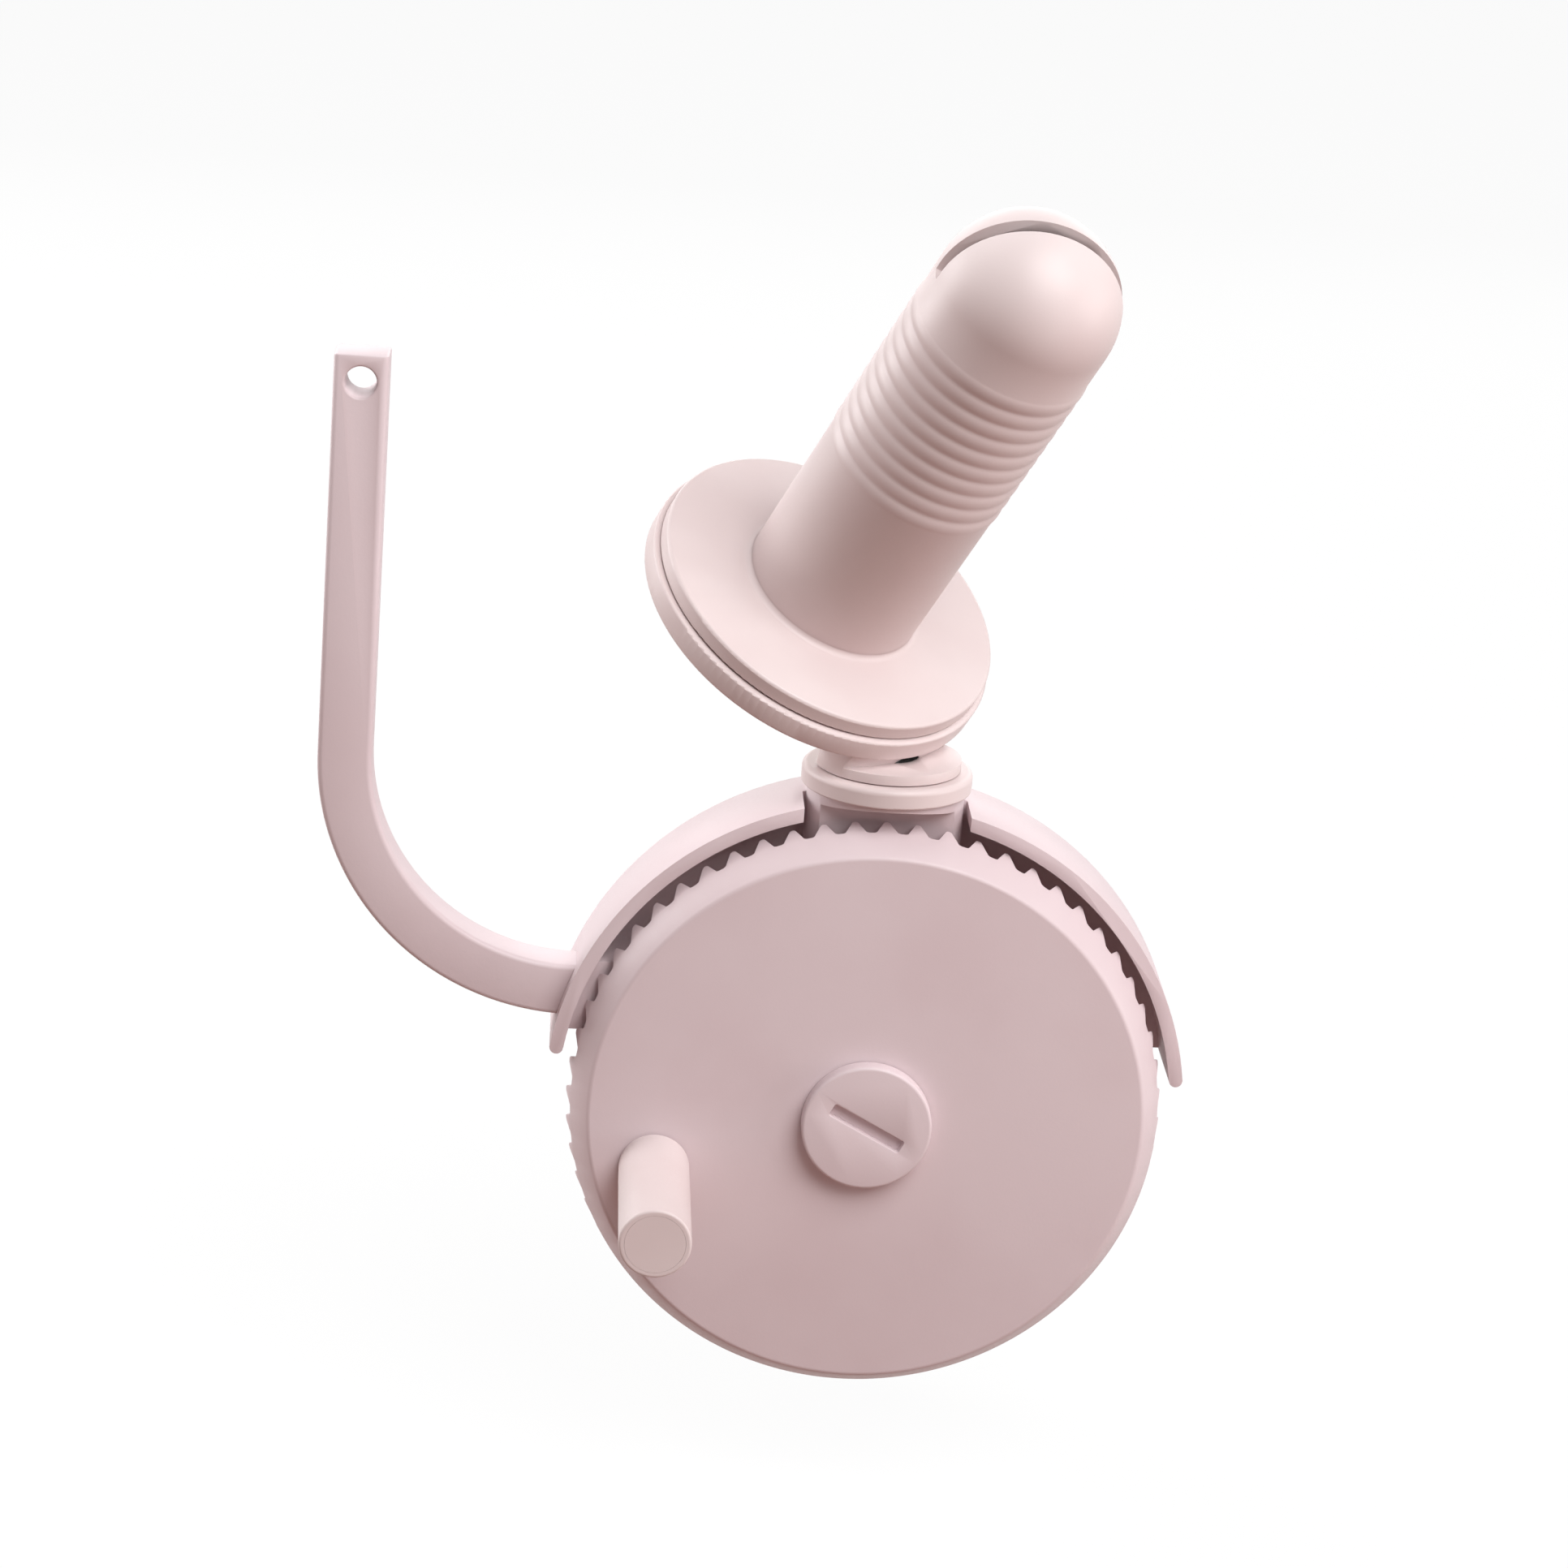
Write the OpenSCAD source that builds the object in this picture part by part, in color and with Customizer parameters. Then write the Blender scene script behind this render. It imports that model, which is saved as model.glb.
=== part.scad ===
// Hand-cranked yarn ball winder that clamps to a table edge.
// The crank wheel turns a tilted spindle through crown teeth, a pinion and a small bevel pair.
// Origin: centre of the clamp jaw's flat underside. +Z up, the wheel's face looks along -Y.

/* [Drive wheel] */
// Radius of the wheel's flat front face
wheel_face_r = 56.4; // [54:0.2:58]
// Radius of the wheel over its tooth tips
wheel_rim_r = 60.9; // [59.5:0.1:61]
// Thickness of the wheel's disc
wheel_disc_t = 3; // [2:0.1:4]
// Depth of the cone behind the front face
wheel_cone_h = 5.8; // [4:0.1:5.8]
// Flare of the teeth beyond the cone's end
rim_flare = 0.7; // [0.2:0.1:1]
// Depth from the front face to the floor of the tooth gaps
tooth_floor = 6; // [5.9:0.1:7]
// Height of a crown tooth
tooth_h = 4.3; // [3.8:0.1:4.6]
// Radial length of the crown teeth
tooth_face = 7.4; // [6:0.2:7.6]
// Number of crown teeth
wheel_teeth = 60; // [56:1:60]
// Width of a tooth gap at its floor
tooth_gap_floor = 1.8; // [1.6:0.1:2]
// Width of a tooth gap at the tooth tips
tooth_gap_mouth = 5.2; // [5:0.1:5.3]
// Rounding of the front face's edge
wheel_edge_r = 1.2; // [0.4:0.1:1.6]
// Radius of the hub behind the disc
hub_r = 14; // [12:0.5:16]
// Length of the hub behind the disc
hub_len = 9; // [8:0.5:9.5]
// Number of stiffening ribs behind the disc
rib_count = 6; // [3:1:8]
// Thickness of a stiffening rib
rib_t = 1.8; // [1.2:0.1:2.4]
// Height of a stiffening rib behind the disc
rib_h = 3.5; // [2:0.5:4]

/* [Axle] */
// Radius of the slotted bolt head
bolt_head_r = 13.2; // [11:0.2:15]
// Height of the bolt head
bolt_head_h = 3.4; // [2.5:0.1:4.5]
// Length of the screwdriver slot
bolt_slot_len = 16.4; // [12:0.2:20]
// Width of the screwdriver slot
bolt_slot_w = 2.8; // [2:0.1:3.6]
// Depth of the screwdriver slot
bolt_slot_depth = 1.3; // [0.8:0.1:2]
// Slope of the screwdriver slot, falling to the right
bolt_slot_angle = 27.5; // [0:0.5:90]
// Radius of the smooth journal that the wheel turns on
axle_r = 6; // [5:0.1:7]
// Radius of the threaded shank
axle_shank_r = 4.5; // [3.5:0.1:4.8]
// Wall of the wheel's bush
wheel_bush_wall = 1.8; // [1.2:0.1:2.5]
// Thickness of the washer behind the wheel's hub
axle_washer_t = 0.8; // [0.5:0.1:1.2]
// Radius of the washer behind the wheel's hub
axle_washer_r = 10; // [8:0.5:11]
// Rounding of the bolt head's edge
bolt_edge_r = 0.7; // [0.3:0.1:1.2]
// Plastic left in the web behind the axle's end
axle_floor = 3; // [2:0.5:4]

/* [Handle] */
// Distance of the handle from the wheel's axis
handle_orbit = 44; // [38:0.5:47]
// Place of the handle round the wheel, from the right, counterclockwise as seen from the front
handle_angle = 196; // [0:1:359]
// Radius of the turning grip
grip_r = 7.2; // [6.5:0.1:9]
// Length of the turning grip
grip_len = 39; // [28:0.5:60]
// Radius of the fixed pin inside the grip
handle_pin_r = 3; // [2.5:0.1:3.5]
// Radius of the pin's head
handle_head_r = 4.6; // [4.2:0.1:5.2]
// Thickness of the pin's head
handle_head_t = 2; // [1.5:0.1:3]
// Thickness of the cap that closes the grip
grip_cap_t = 2.4; // [1.6:0.1:3]
// Wall of the grip round its cap
grip_cap_wall = 1.2; // [0.8:0.1:1.6]
// Rounding of the grip's outer edge
grip_edge_r = 0.6; // [0.2:0.1:1]
// Wall of the boss that holds the pin
handle_boss_wall = 2.5; // [1.5:0.1:3]
// Radius of the riveted end of the pin
rivet_r = 4.5; // [3.8:0.1:5]
// Thickness of the riveted end of the pin
rivet_t = 1.5; // [1:0.1:2]

/* [Guard] */
// Gap between the wheel's rim and the half-round guard
guard_gap = 1.8; // [1.8:0.1:6]
// Wall of the guard
guard_wall = 2.8; // [2:0.1:3]
// Distance of the guard's front edge behind the wheel's face
guard_front = 8.1; // [6:0.1:9]
// Depth of the guard from its front edge to its back
guard_depth = 20.9; // [20:0.1:24]
// Height of the guard's ends above the wheel's axis
guard_end_z = 9.3; // [7:0.1:11]
// Thickness of the back plate
back_t = 2.5; // [2:0.1:3.5]
// Width of the tongue that carries the axle
tongue_w = 46; // [44:1:52]
// Depth of the tongue below the wheel's axis
tongue_drop = 27; // [25:1:30]
// Rounding of the tongue's corners
tongue_r = 8; // [4:0.5:10]
// Radius of the axle boss
axle_boss_r = 11; // [9:0.5:12]

/* [Tower] */
// Radius of the tower
tower_r = 16; // [15.4:0.1:16.6]
// Thickness of the tower's roof over the wheel's teeth
tower_roof = 1; // [0.6:0.1:3]
// Rise of the tower's top above the guard
tower_rise = 0.5; // [0.2:0.1:3]
// Radius of the collar on top
collar_r = 17.3; // [16.8:0.1:18.5]
// Height of the collar
collar_h = 4; // [3:0.1:5]
// Rounding of the collar's upper edge
collar_edge_r = 1.2; // [0.6:0.1:1.8]
// Rounding of the collar's lower edge
collar_low_edge_r = 0.4; // [0.2:0.1:0.8]
// Wall of the tower's bush
tower_bush_wall = 2; // [1.4:0.1:2.6]
// Thickness of the bush's flange
tower_bush_flange = 1.2; // [0.8:0.1:1.6]
// Width of the bush's flange
tower_bush_lip = 2; // [1.2:0.1:3]
// Radius of the fixed centre post
post_r = 3; // [2.4:0.1:3.2]
// Thickness of the shelf under the pinion
shelf_t = 5.5; // [4:0.5:7]
// Radius of the post's nut over its corners
post_nut_r = 6.3; // [5.6:0.1:7]
// Height of the post's nut
post_nut_h = 4.8; // [3.5:0.1:5.5]
// Width of the washer under the pinion
thrust_washer_w = 3; // [2:0.1:3.5]
// Thickness of the washer under the pinion
thrust_washer_t = 1.5; // [1:0.1:2]

/* [Pinion] */
// Number of pinion teeth
pinion_teeth = 12; // [11:1:13]
// Height of the pinion
pinion_h = 7.6; // [6:0.2:8]
// Distance of the pinion's top below the wheel's tooth tips
pinion_drop = 3.9; // [3:0.1:4.2]
// Thickness of a pinion tooth at its pitch circle
pinion_tooth_t = 2.4; // [2:0.1:2.5]
// Lean of a pinion tooth's flanks above its pitch circle
pinion_tip_lean = 0.4; // [0.36:0.01:0.46]
// Lean of a pinion tooth's flanks below its pitch circle
pinion_root_lean = 0.14; // [0.05:0.01:0.18]
// Gap between a tooth tip and the floor it runs over
tip_gap = 0.4; // [0.3:0.05:0.6]
// Outer radius of the hollow shaft
shaft_r = 6; // [5:0.1:6.5]
// Wall of the hollow shaft
shaft_wall = 2.4; // [1.8:0.1:2.6]

/* [Tilting head] */
// Tilt of the spindle from upright
tilt = 33.7; // [30:0.1:35]
// Direction of the lean, from the right towards the front
lean = 47.7; // [0:0.1:90]
// Radius of the neck that turns on the collar
neck_r = 14.8; // [13.5:0.1:16]
// Thickness of the neck's floor above the collar
neck_floor = 2; // [1.5:0.1:3]
// Step from the neck to the stub inside the collar
neck_step = 2.6; // [2:0.1:3]
// Radius of the tilted plate
plate_r = 38; // [36:0.5:40]
// Thickness of the tilted plate
plate_t = 5.3; // [4:0.1:6]
// Rounding of the plate's lower edge
plate_edge_r = 1; // [0.4:0.1:1.6]
// Length of the bush boss below the plate
boss_h = 1.8; // [1:0.1:3]
// Wall of the boss round the spindle's bush
boss_wall = 2; // [1.5:0.1:3]
// Wall of the spindle's bush
spindle_bush_wall = 1.6; // [1.2:0.1:2.2]

/* [Spindle drive] */
// Number of teeth on the fixed sun gear
sun_teeth = 10; // [9:1:11]
// Number of teeth on the spindle's gear
spindle_teeth = 60; // [57:1:63]
// Length of the bevel teeth along the cone
bevel_face = 4.4; // [3.6:0.1:5]
// Height of a bevel tooth above its pitch cone
bevel_add = 0.75; // [0.6:0.05:0.85]
// Depth of a bevel tooth gap below its pitch cone
bevel_ded = 1.05; // [0.9:0.05:1.2]
// Share of the pitch that a bevel tooth gap takes
bevel_gap_share = 0.63; // [0.6:0.01:0.66]
// Slope of the bevel teeth's flanks
bevel_angle = 20; // [16:1:24]
// Height of the hub under the spindle's gear
gear_hub_h = 1.2; // [0.8:0.1:2]
// Wall of the hub under the spindle's gear
gear_hub_wall = 4; // [3:0.1:5]
// Radius of the washer under the gear
spindle_washer_r = 7.5; // [6:0.1:8]
// Thickness of the washer under the gear
spindle_washer_t = 1; // [0.8:0.1:1.4]

/* [Spindle] */
// Distance from the crossing of the axes down to the flange's top
flange_below_cross = 35; // [32:0.5:38]
// Radius of the spindle's flange
flange_r = 36.8; // [32:0.2:37.4]
// Thickness of the spindle's flange
flange_t = 3.6; // [2.6:0.1:4.5]
// Rounding of the flange's upper edge
flange_edge_r = 0.7; // [0.3:0.1:1.2]
// Radius of the spindle
spindle_r = 18.65; // [17:0.05:20]
// Length of the spindle above its flange
spindle_len = 100; // [85:1:130]
// Wall of the spindle
spindle_wall = 2.4; // [1.8:0.1:3]
// Number of grip rings round the spindle
ring_count = 12; // [6:1:16]
// Spacing of the grip rings
ring_pitch = 3.3; // [2.8:0.1:3.6]
// Height of the first grip ring above the flange
ring_start = 31; // [24:0.5:34]
// Height of a grip ring above the spindle's surface
ring_h = 0.3; // [0.2:0.05:0.6]
// Width of a grip ring as a share of the spacing
ring_w_share = 0.9; // [0.5:0.05:0.95]
// Width of the yarn slot across the dome
yarn_slot_w = 3.4; // [2.5:0.1:4]
// Depth of the yarn slot below the dome's top
yarn_slot_depth = 20; // [14:0.5:26]
// Turn of the yarn slot about the spindle at rest
yarn_slot_turn = -38; // [-90:0.5:90]
// Radius of the spindle's shaft
spindle_shaft_r = 5; // [4:0.1:5.5]
// Fillet between the spindle's foot and its flange
foot_fillet = 1.2; // [0.6:0.1:2]
// Height of the spigot inside the spindle's foot
spigot_h = 4; // [3:0.5:8]
// Wall of the spigot
spigot_wall = 2; // [1.5:0.1:3]
// Height of the flange's boss for the shaft
flange_boss_h = 9; // [6:0.5:14]
// Wall of the flange's boss
flange_boss_wall = 3.5; // [2.5:0.1:5]

/* [Guide arm] */
// Width of the arm as seen from the front
arm_w = 10.8; // [9:0.2:12]
// Depth of the arm from front to back
arm_t = 10; // [8:0.2:11]
// Distance of the upright from the wheel's axis
arm_reach = 109; // [95:0.5:125]
// Height of the arm's tip above the wheel's axis
arm_top = 148.8; // [120:0.5:170]
// Radius of the bend along the arm's middle
arm_bend_r = 47.5; // [40:0.5:55]
// Height of the arm's root above the wheel's axis
arm_root_z = 20; // [18.5:0.5:24]
// Distance of the arm's front behind the wheel's face
arm_front = 12.6; // [12:0.2:13.5]
// Length of the tail inside the socket
arm_tail = 14; // [10:0.5:16]
// Rounding of the arm's long edges
arm_edge_r = 1.1; // [0.4:0.1:2]
// Radius of the yarn eye
eye_r = 3.15; // [2:0.05:4]
// Distance of the yarn eye below the arm's tip
eye_drop = 5.4; // [5:0.1:10]
// Wall of the socket round the arm's tail
socket_wall = 2; // [1.4:0.1:2.4]

/* [Clamp] */
// Height of the jaw's underside above the wheel's axis
seat_above_axle = 20; // [16:0.5:24]
// Length of the jaw's flat underside
seat_len = 36; // [28:1:50]
// Width of the clamp's jaws
jaw_w = 44; // [36:1:46]
// Thickness of the upper jaw
jaw_t = 8; // [6:0.5:10]
// Thickness of the upright web
web_t = 8; // [7:0.5:12]
// Thickness of the lower jaw
lower_jaw_t = 9; // [7:0.5:11]
// Clear height between the two jaws
throat_h = 44; // [40:1:46]
// Rounding of the throat's inner corners
throat_r = 2; // [1:0.5:4]
// Rounding of the jaws' corners as seen from above
jaw_corner_r = 6; // [2:0.5:10]
// Rounding of the upper jaw's tip
jaw_tip_r = 3; // [1:0.5:5]
// Rounding of the lower jaw's tip
lower_tip_r = 5; // [1:0.5:6]
// Height of the boss under the lower jaw
lower_boss_h = 4; // [2:0.5:5]
// Wall of the boss under the lower jaw
lower_boss_wall = 5; // [3:0.5:6]
// Gap between the jaw and the pad at rest
rest_gap = 25; // [15:1:28]
// Radius of the clamp screw
screw_r = 5; // [4:0.1:6]
// Length of the clamp screw between pad and knob
screw_len = 50; // [44:1:56]
// Length of the screw's nose in the pad
screw_nose = 3; // [2:0.5:3.5]
// Step from the screw to its nose
screw_step = 1; // [0.8:0.1:1.5]
// Radius of the pad
pad_r = 12; // [9:0.5:16]
// Thickness of the pad
pad_t = 6; // [5:0.5:9]
// Rounding of the pad's upper edge
pad_edge_r = 0.8; // [0.3:0.1:1.5]
// Rounding of the pad's lower edge
pad_low_edge_r = 1.5; // [0.5:0.1:2.5]
// Radius of the knob
knob_r = 11; // [9:0.5:14]
// Height of the knob
knob_h = 11; // [8:0.5:14]
// Rounding of the knob's edges
knob_edge_r = 2; // [0.5:0.1:3]
// Floor of the knob under the screw
knob_floor = 3; // [2:0.5:4]
// Number of finger flutes round the knob
knob_flutes = 8; // [5:1:12]
// Radius of a finger flute
flute_r = 2.6; // [1.5:0.1:3]

/* [Fasteners] */
// Radius of the frame screws' shanks
frame_screw_r = 1.75; // [1.5:0.05:2]
// Radius of the frame screws' heads
frame_screw_head_r = 3.4; // [2.8:0.1:3.8]
// Height of the frame screws' heads
frame_screw_head_h = 2.2; // [1.6:0.1:2.6]
// Sideways place of the frame screws
frame_screw_x = 17; // [15:0.5:18]
// Upward place of the frame screws from the wheel's axis
frame_screw_z = 17; // [15:0.5:20]
// Plastic left in the web behind the frame screws' tips
frame_screw_floor = 2; // [1.5:0.5:3]
// Radius of the small screws' shanks
small_screw_r = 1.5; // [1.2:0.05:1.6]
// Radius of the spindle screw's head
small_head_r = 4; // [3:0.1:5]
// Height of the spindle screw's head
small_head_h = 2; // [1.4:0.1:2.6]
// Depth of the spindle screw in its shaft
spindle_screw_len = 10; // [7:0.5:12]

/* [Fits] */
// Radial clearance of a turning fit
run = 0.06; // [0.03:0.01:0.09]
// Clearance of a seat that doesn't move
seat = 0.04; // [0.02:0.01:0.08]
// End play between faces that turn past each other
play = 0.3; // [0.2:0.05:0.4]
// Room round parts that pass each other
room = 0.8; // [0.6:0.1:1.2]

/* [Hidden] */
$fn = 96;

// Colours of the moulded plastic and of the metal inside
BODY = [0.88, 0.80, 0.80];
LIGHT = [0.94, 0.89, 0.89];
STEEL = [0.70, 0.71, 0.72];
BUSH = [0.93, 0.92, 0.90];

// Overshoot of a cut past the face it opens
over = 1;
// A length past any of the object's own
far = 300;

// Radii and levels of the housing about the wheel's axis
guard_r = wheel_rim_r + guard_gap + guard_wall;
tower_top = guard_r + tower_rise;

// Depths behind the wheel's face
tooth_tip_y = tooth_floor + tooth_h;
back_y = guard_front + guard_depth;
back_in_y = back_y - back_t;
hub_end_y = wheel_disc_t + hub_len;
boss_front_y = hub_end_y + play + axle_washer_t;
pocket_y = tooth_tip_y + play + seat;

// Place of the wheel's front centre in the part's frame
web_back_y = -seat_len / 2 - throat_r;
wheel_pos = [0, web_back_y - web_t - back_y, -seat_above_axle];

// Pinion: its pitch circle rolls on the crown teeth at the middle of the length that it meets
pinion_top = wheel_rim_r - pinion_drop;
wheel_mid_r = (wheel_rim_r - tooth_face + pinion_top) / 2;
pinion_pitch_r = wheel_mid_r * pinion_teeth / wheel_teeth;
pinion_y = tooth_floor + tooth_h / 2 + pinion_pitch_r;
pinion_tip_r = pinion_y - tooth_floor - tip_gap;
pinion_root_r = pinion_y - tooth_tip_y - tip_gap;
tooth_slope = (tooth_gap_mouth - tooth_gap_floor) / 2 / tooth_h;
pinion_bottom = pinion_top - pinion_h;
bay_bottom = pinion_bottom - play - thrust_washer_t;
bay_top = pinion_top + play;
bay_r = pinion_tip_r + room;
pocket_r = wheel_rim_r + 2 * room;
tower_pocket_r = tower_top - tower_roof;
notch_half_w = tower_r + room;
shelf_bottom = bay_bottom - shelf_t;
shaft_bore_r = shaft_r - shaft_wall;

// Levels of the turning head above the wheel's axis
collar_top = tower_top + collar_h;
bush_top = tower_top + tower_bush_flange;
head_bottom = bush_top + play;
neck_bottom = collar_top + play;
floor_top = neck_bottom + neck_floor;
step_r = neck_r - neck_step;
collar_bore_r = step_r + room / 2;
tower_bush_r = shaft_r + run + tower_bush_wall;

// Distances down the tilted axis from the crossing of the two axes
flange_bottom = flange_below_cross + flange_t;
plate_top = flange_bottom + play;
plate_bottom = plate_top + plate_t;
boss_bottom = plate_bottom + boss_h;
gear_top = boss_bottom + play;

// Bevel pair: the pitch cones share the crossing of the axes
sun_cone = atan(sin(tilt) / (spindle_teeth / sun_teeth + cos(tilt)));
gear_cone = tilt - sun_cone;
bevel_in = gear_top / cos(gear_cone) + bevel_add * tan(gear_cone);
bevel_out = bevel_in + bevel_face;
bevel_pitch = 2 * PI * (bevel_in + bevel_face / 2) * sin(sun_cone) / sun_teeth;
bevel_gap = bevel_gap_share * bevel_pitch;
bevel_slope = tan(bevel_angle);
gear_out_r = bevel_out * sin(gear_cone) + bevel_add * cos(gear_cone);
gear_bottom = bevel_out * cos(gear_cone) - bevel_add * sin(gear_cone);
gear_thick_end = bevel_out * cos(gear_cone);
sun_top_r = bevel_in * sin(sun_cone) + bevel_add * cos(sun_cone);
sun_out_r = bevel_out * sin(sun_cone) + bevel_add * cos(sun_cone);

// The head stands just high enough for the gear's lowest tooth to pass over its floor
gear_reach = gear_thick_end * cos(tilt) + gear_out_r * sin(tilt);
cross_z = floor_top + room + gear_reach;
sun_top = cross_z - bevel_in * cos(sun_cone);
sun_bottom = cross_z - bevel_out * cos(sun_cone);
cavity_r = sun_out_r + room;
spindle_bush_r = spindle_shaft_r + run + spindle_bush_wall;
hub_bottom = gear_thick_end + gear_hub_h;

// Spindle
dome_z = spindle_len - spindle_r;
spindle_bore_r = spindle_r - spindle_wall;
flange_boss_r = spindle_shaft_r + flange_boss_wall;
// Facets round a grip ring's section
ring_facets = 24;
ring_half_w = ring_pitch * ring_w_share / 2;
ring_r = (ring_h * ring_h + ring_half_w * ring_half_w) / (2 * ring_h);

// Handle
handle_x = handle_orbit * cos(handle_angle);
handle_z = handle_orbit * sin(handle_angle);
handle_boss_r = handle_pin_r + handle_boss_wall;
grip_bore_r = handle_pin_r + run;
grip_cap_r = grip_r - grip_cap_wall;
head_recess = handle_head_t + 2 * play;

// Guide arm
arm_mid_y = arm_front + arm_t / 2;
arm_tail_x = -sqrt(pow(guard_r - guard_wall, 2) - pow(arm_root_z, 2)) + arm_tail;
arm_bend_x = arm_bend_r - arm_reach;

// Clamp, in the part's frame
pad_top = -rest_gap;
pad_bottom = pad_top - pad_t;
knob_top = pad_bottom - screw_len;
screw_nose_r = screw_r - screw_step;
frame_screw_len = back_t + web_t - frame_screw_floor;

// Moves children from the wheel's own frame to the part's frame.
module on_wheel() {
    translate(wheel_pos) children();
}

// Moves children from the upright axis of the head to the part's frame.
module on_tower() {
    on_wheel() translate([0, pinion_y, 0]) children();
}

// Moves children from the tilted axis to the part's frame: +Z runs up the spindle from the crossing.
module on_tilt() {
    on_tower() in_tilt() children();
}

// The same, from the upright axis of the head.
module in_tilt() {
    translate([0, 0, cross_z]) rotate([0, 0, -lean]) rotate([0, tilt, 0]) children();
}

// Turns children's Z axis to point away from the viewer.
module along_y() {
    rotate([-90, 0, 0]) children();
}

// Tube with its base on the origin.
module tube(r_out, r_in, h) {
    difference() {
        cylinder(r = r_out, h = h);
        translate([0, 0, -over]) cylinder(r = r_in, h = h + 2 * over);
    }
}

// Half section of a disc whose outer edges are rounded below and above.
module disc_section(r, h, r_low, r_high) {
    difference() {
        square([r, h]);
        if (r_low > 0) translate([r, 0]) rotate(90) corner(r_low);
        if (r_high > 0) translate([r, h]) rotate(180) corner(r_high);
    }
}

// What a rounding of radius r takes away from a square corner at the origin.
module corner(r) {
    difference() {
        translate([-over, -over]) square(r + over);
        translate([r, r]) circle(r);
    }
}

// Rectangle with rounded corners, centred.
module rounded_rect(w, h, r) {
    square([w - 2 * r, h], center = true);
    square([w, h - 2 * r], center = true);
    for (sx = [-1, 1], sy = [-1, 1]) translate([sx * (w / 2 - r), sy * (h / 2 - r)]) circle(r);
}

// Half-round guard with its back plate, tower, axle boss and arm socket, moulded in one.
module housing() {
    color(BODY) on_wheel() difference() {
        union() {
            guard_strip();
            along_y() translate([0, 0, back_in_y]) linear_extrude(back_t) back_outline();
            along_y() translate([0, 0, boss_front_y]) cylinder(r = axle_boss_r, h = back_y - boss_front_y);
            arm_socket();
            tower_block();
        }
        along_y() translate([0, 0, boss_front_y - over])
            cylinder(r = axle_shank_r + seat, h = back_y);
        arm_hole();
        for (sx = [-1, 1], sz = [-1, 1])
            translate([sx * frame_screw_x, back_in_y - over, sz * frame_screw_z])
                along_y() cylinder(r = frame_screw_r + seat, h = back_t + 2 * over);
        tower_cuts();
    }
}

// Curved strip of the guard, with rounded ends and a notch in front of the tower.
module guard_strip() {
    difference() {
        along_y() translate([0, 0, guard_front]) linear_extrude(guard_depth) guard_outline();
        translate([-notch_half_w, guard_front - over, tower_top - far / 2])
            cube([2 * notch_half_w, pinion_y - guard_front + over, far]);
    }
}

// Outline of the guard's strip, seen with Z downwards.
module guard_outline() {
    mid_r = guard_r - guard_wall / 2;
    end_x = sqrt(mid_r * mid_r - guard_end_z * guard_end_z);
    difference() {
        circle(guard_r);
        circle(guard_r - guard_wall);
        translate([-far / 2, -guard_end_z]) square([far, far]);
    }
    for (sx = [-1, 1]) translate([sx * end_x, -guard_end_z]) circle(guard_wall / 2 - seat);
}

// Outline of the back plate: half a disc and a tongue for the axle, seen with Z downwards.
module back_outline() {
    difference() {
        circle(guard_r - guard_wall / 2);
        translate([-far / 2, -guard_end_z - seat]) square([far, far]);
    }
    translate([0, (tongue_drop - guard_end_z) / 2 - tongue_r / 2])
        rounded_rect(tongue_w, tongue_drop + guard_end_z + tongue_r, tongue_r);
}

// Socket block that holds the arm's tail behind the wheel.
module arm_socket() {
    block_x = -guard_r + guard_wall / 2;
    block_h = arm_w + 2 * socket_wall;
    intersection() {
        translate([block_x, arm_front - socket_wall, arm_root_z - block_h / 2])
            cube([arm_tail_x - block_x, back_in_y + back_t / 2 - arm_front + socket_wall, block_h]);
        along_y() cylinder(r = guard_r - guard_wall / 3, h = back_y);
    }
}

// The way for the arm's tail through the guard and the socket.
module arm_hole() {
    translate([-far + arm_tail_x + over, arm_mid_y, arm_root_z])
        rotate([90, 0, 90]) linear_extrude(far)
            rounded_rect(arm_t + 2 * seat, arm_w + 2 * seat, arm_edge_r);
}

// Round tower with its shelf.
module tower_block() {
    translate([0, pinion_y, shelf_bottom]) cylinder(r = tower_r, h = tower_top - shelf_bottom);
}

// Bay for the pinion, bores for bush and post, and the room that the wheel turns in.
module tower_cuts() {
    translate([0, pinion_y, 0]) {
        translate([0, 0, bay_bottom]) cylinder(r = bay_r, h = bay_top - bay_bottom);
        translate([-bay_r, -far, bay_bottom]) cube([2 * bay_r, far, bay_top - bay_bottom]);
        translate([0, 0, bay_top - over]) cylinder(r = tower_bush_r + seat, h = far);
        translate([0, 0, shelf_bottom - over]) cylinder(r = post_r + seat, h = far);
    }
    along_y() translate([0, 0, pocket_y - far]) cylinder(r = pocket_r, h = far);
    intersection() {
        along_y() translate([0, 0, pocket_y - far]) cylinder(r = tower_pocket_r, h = far);
        translate([0, pinion_y, shelf_bottom - over]) cylinder(r = notch_half_w, h = far);
    }
}

// Ring that caps the tower.
module tower_collar() {
    color(LIGHT) on_tower() translate([0, 0, tower_top]) rotate_extrude() difference() {
        disc_section(collar_r, collar_h, collar_low_edge_r, collar_edge_r);
        translate([-over, -over]) square([collar_bore_r + over, collar_h + 2 * over]);
    }
}

// Flanged bush that the hollow shaft turns in.
module tower_bush() {
    color(BUSH) on_tower() difference() {
        union() {
            translate([0, 0, bay_top]) cylinder(r = tower_bush_r, h = bush_top - bay_top);
            translate([0, 0, tower_top]) cylinder(r = tower_bush_r + tower_bush_lip, h = tower_bush_flange);
        }
        translate([0, 0, bay_top - over]) cylinder(r = shaft_r + run, h = far);
    }
}

// Fixed post through the hollow shaft, with a threaded foot below the shelf.
module center_post() {
    foot = shelf_bottom - post_nut_h - over;
    color(STEEL) on_tower() translate([0, 0, foot]) cylinder(r = post_r, h = sun_top - foot);
}

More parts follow.
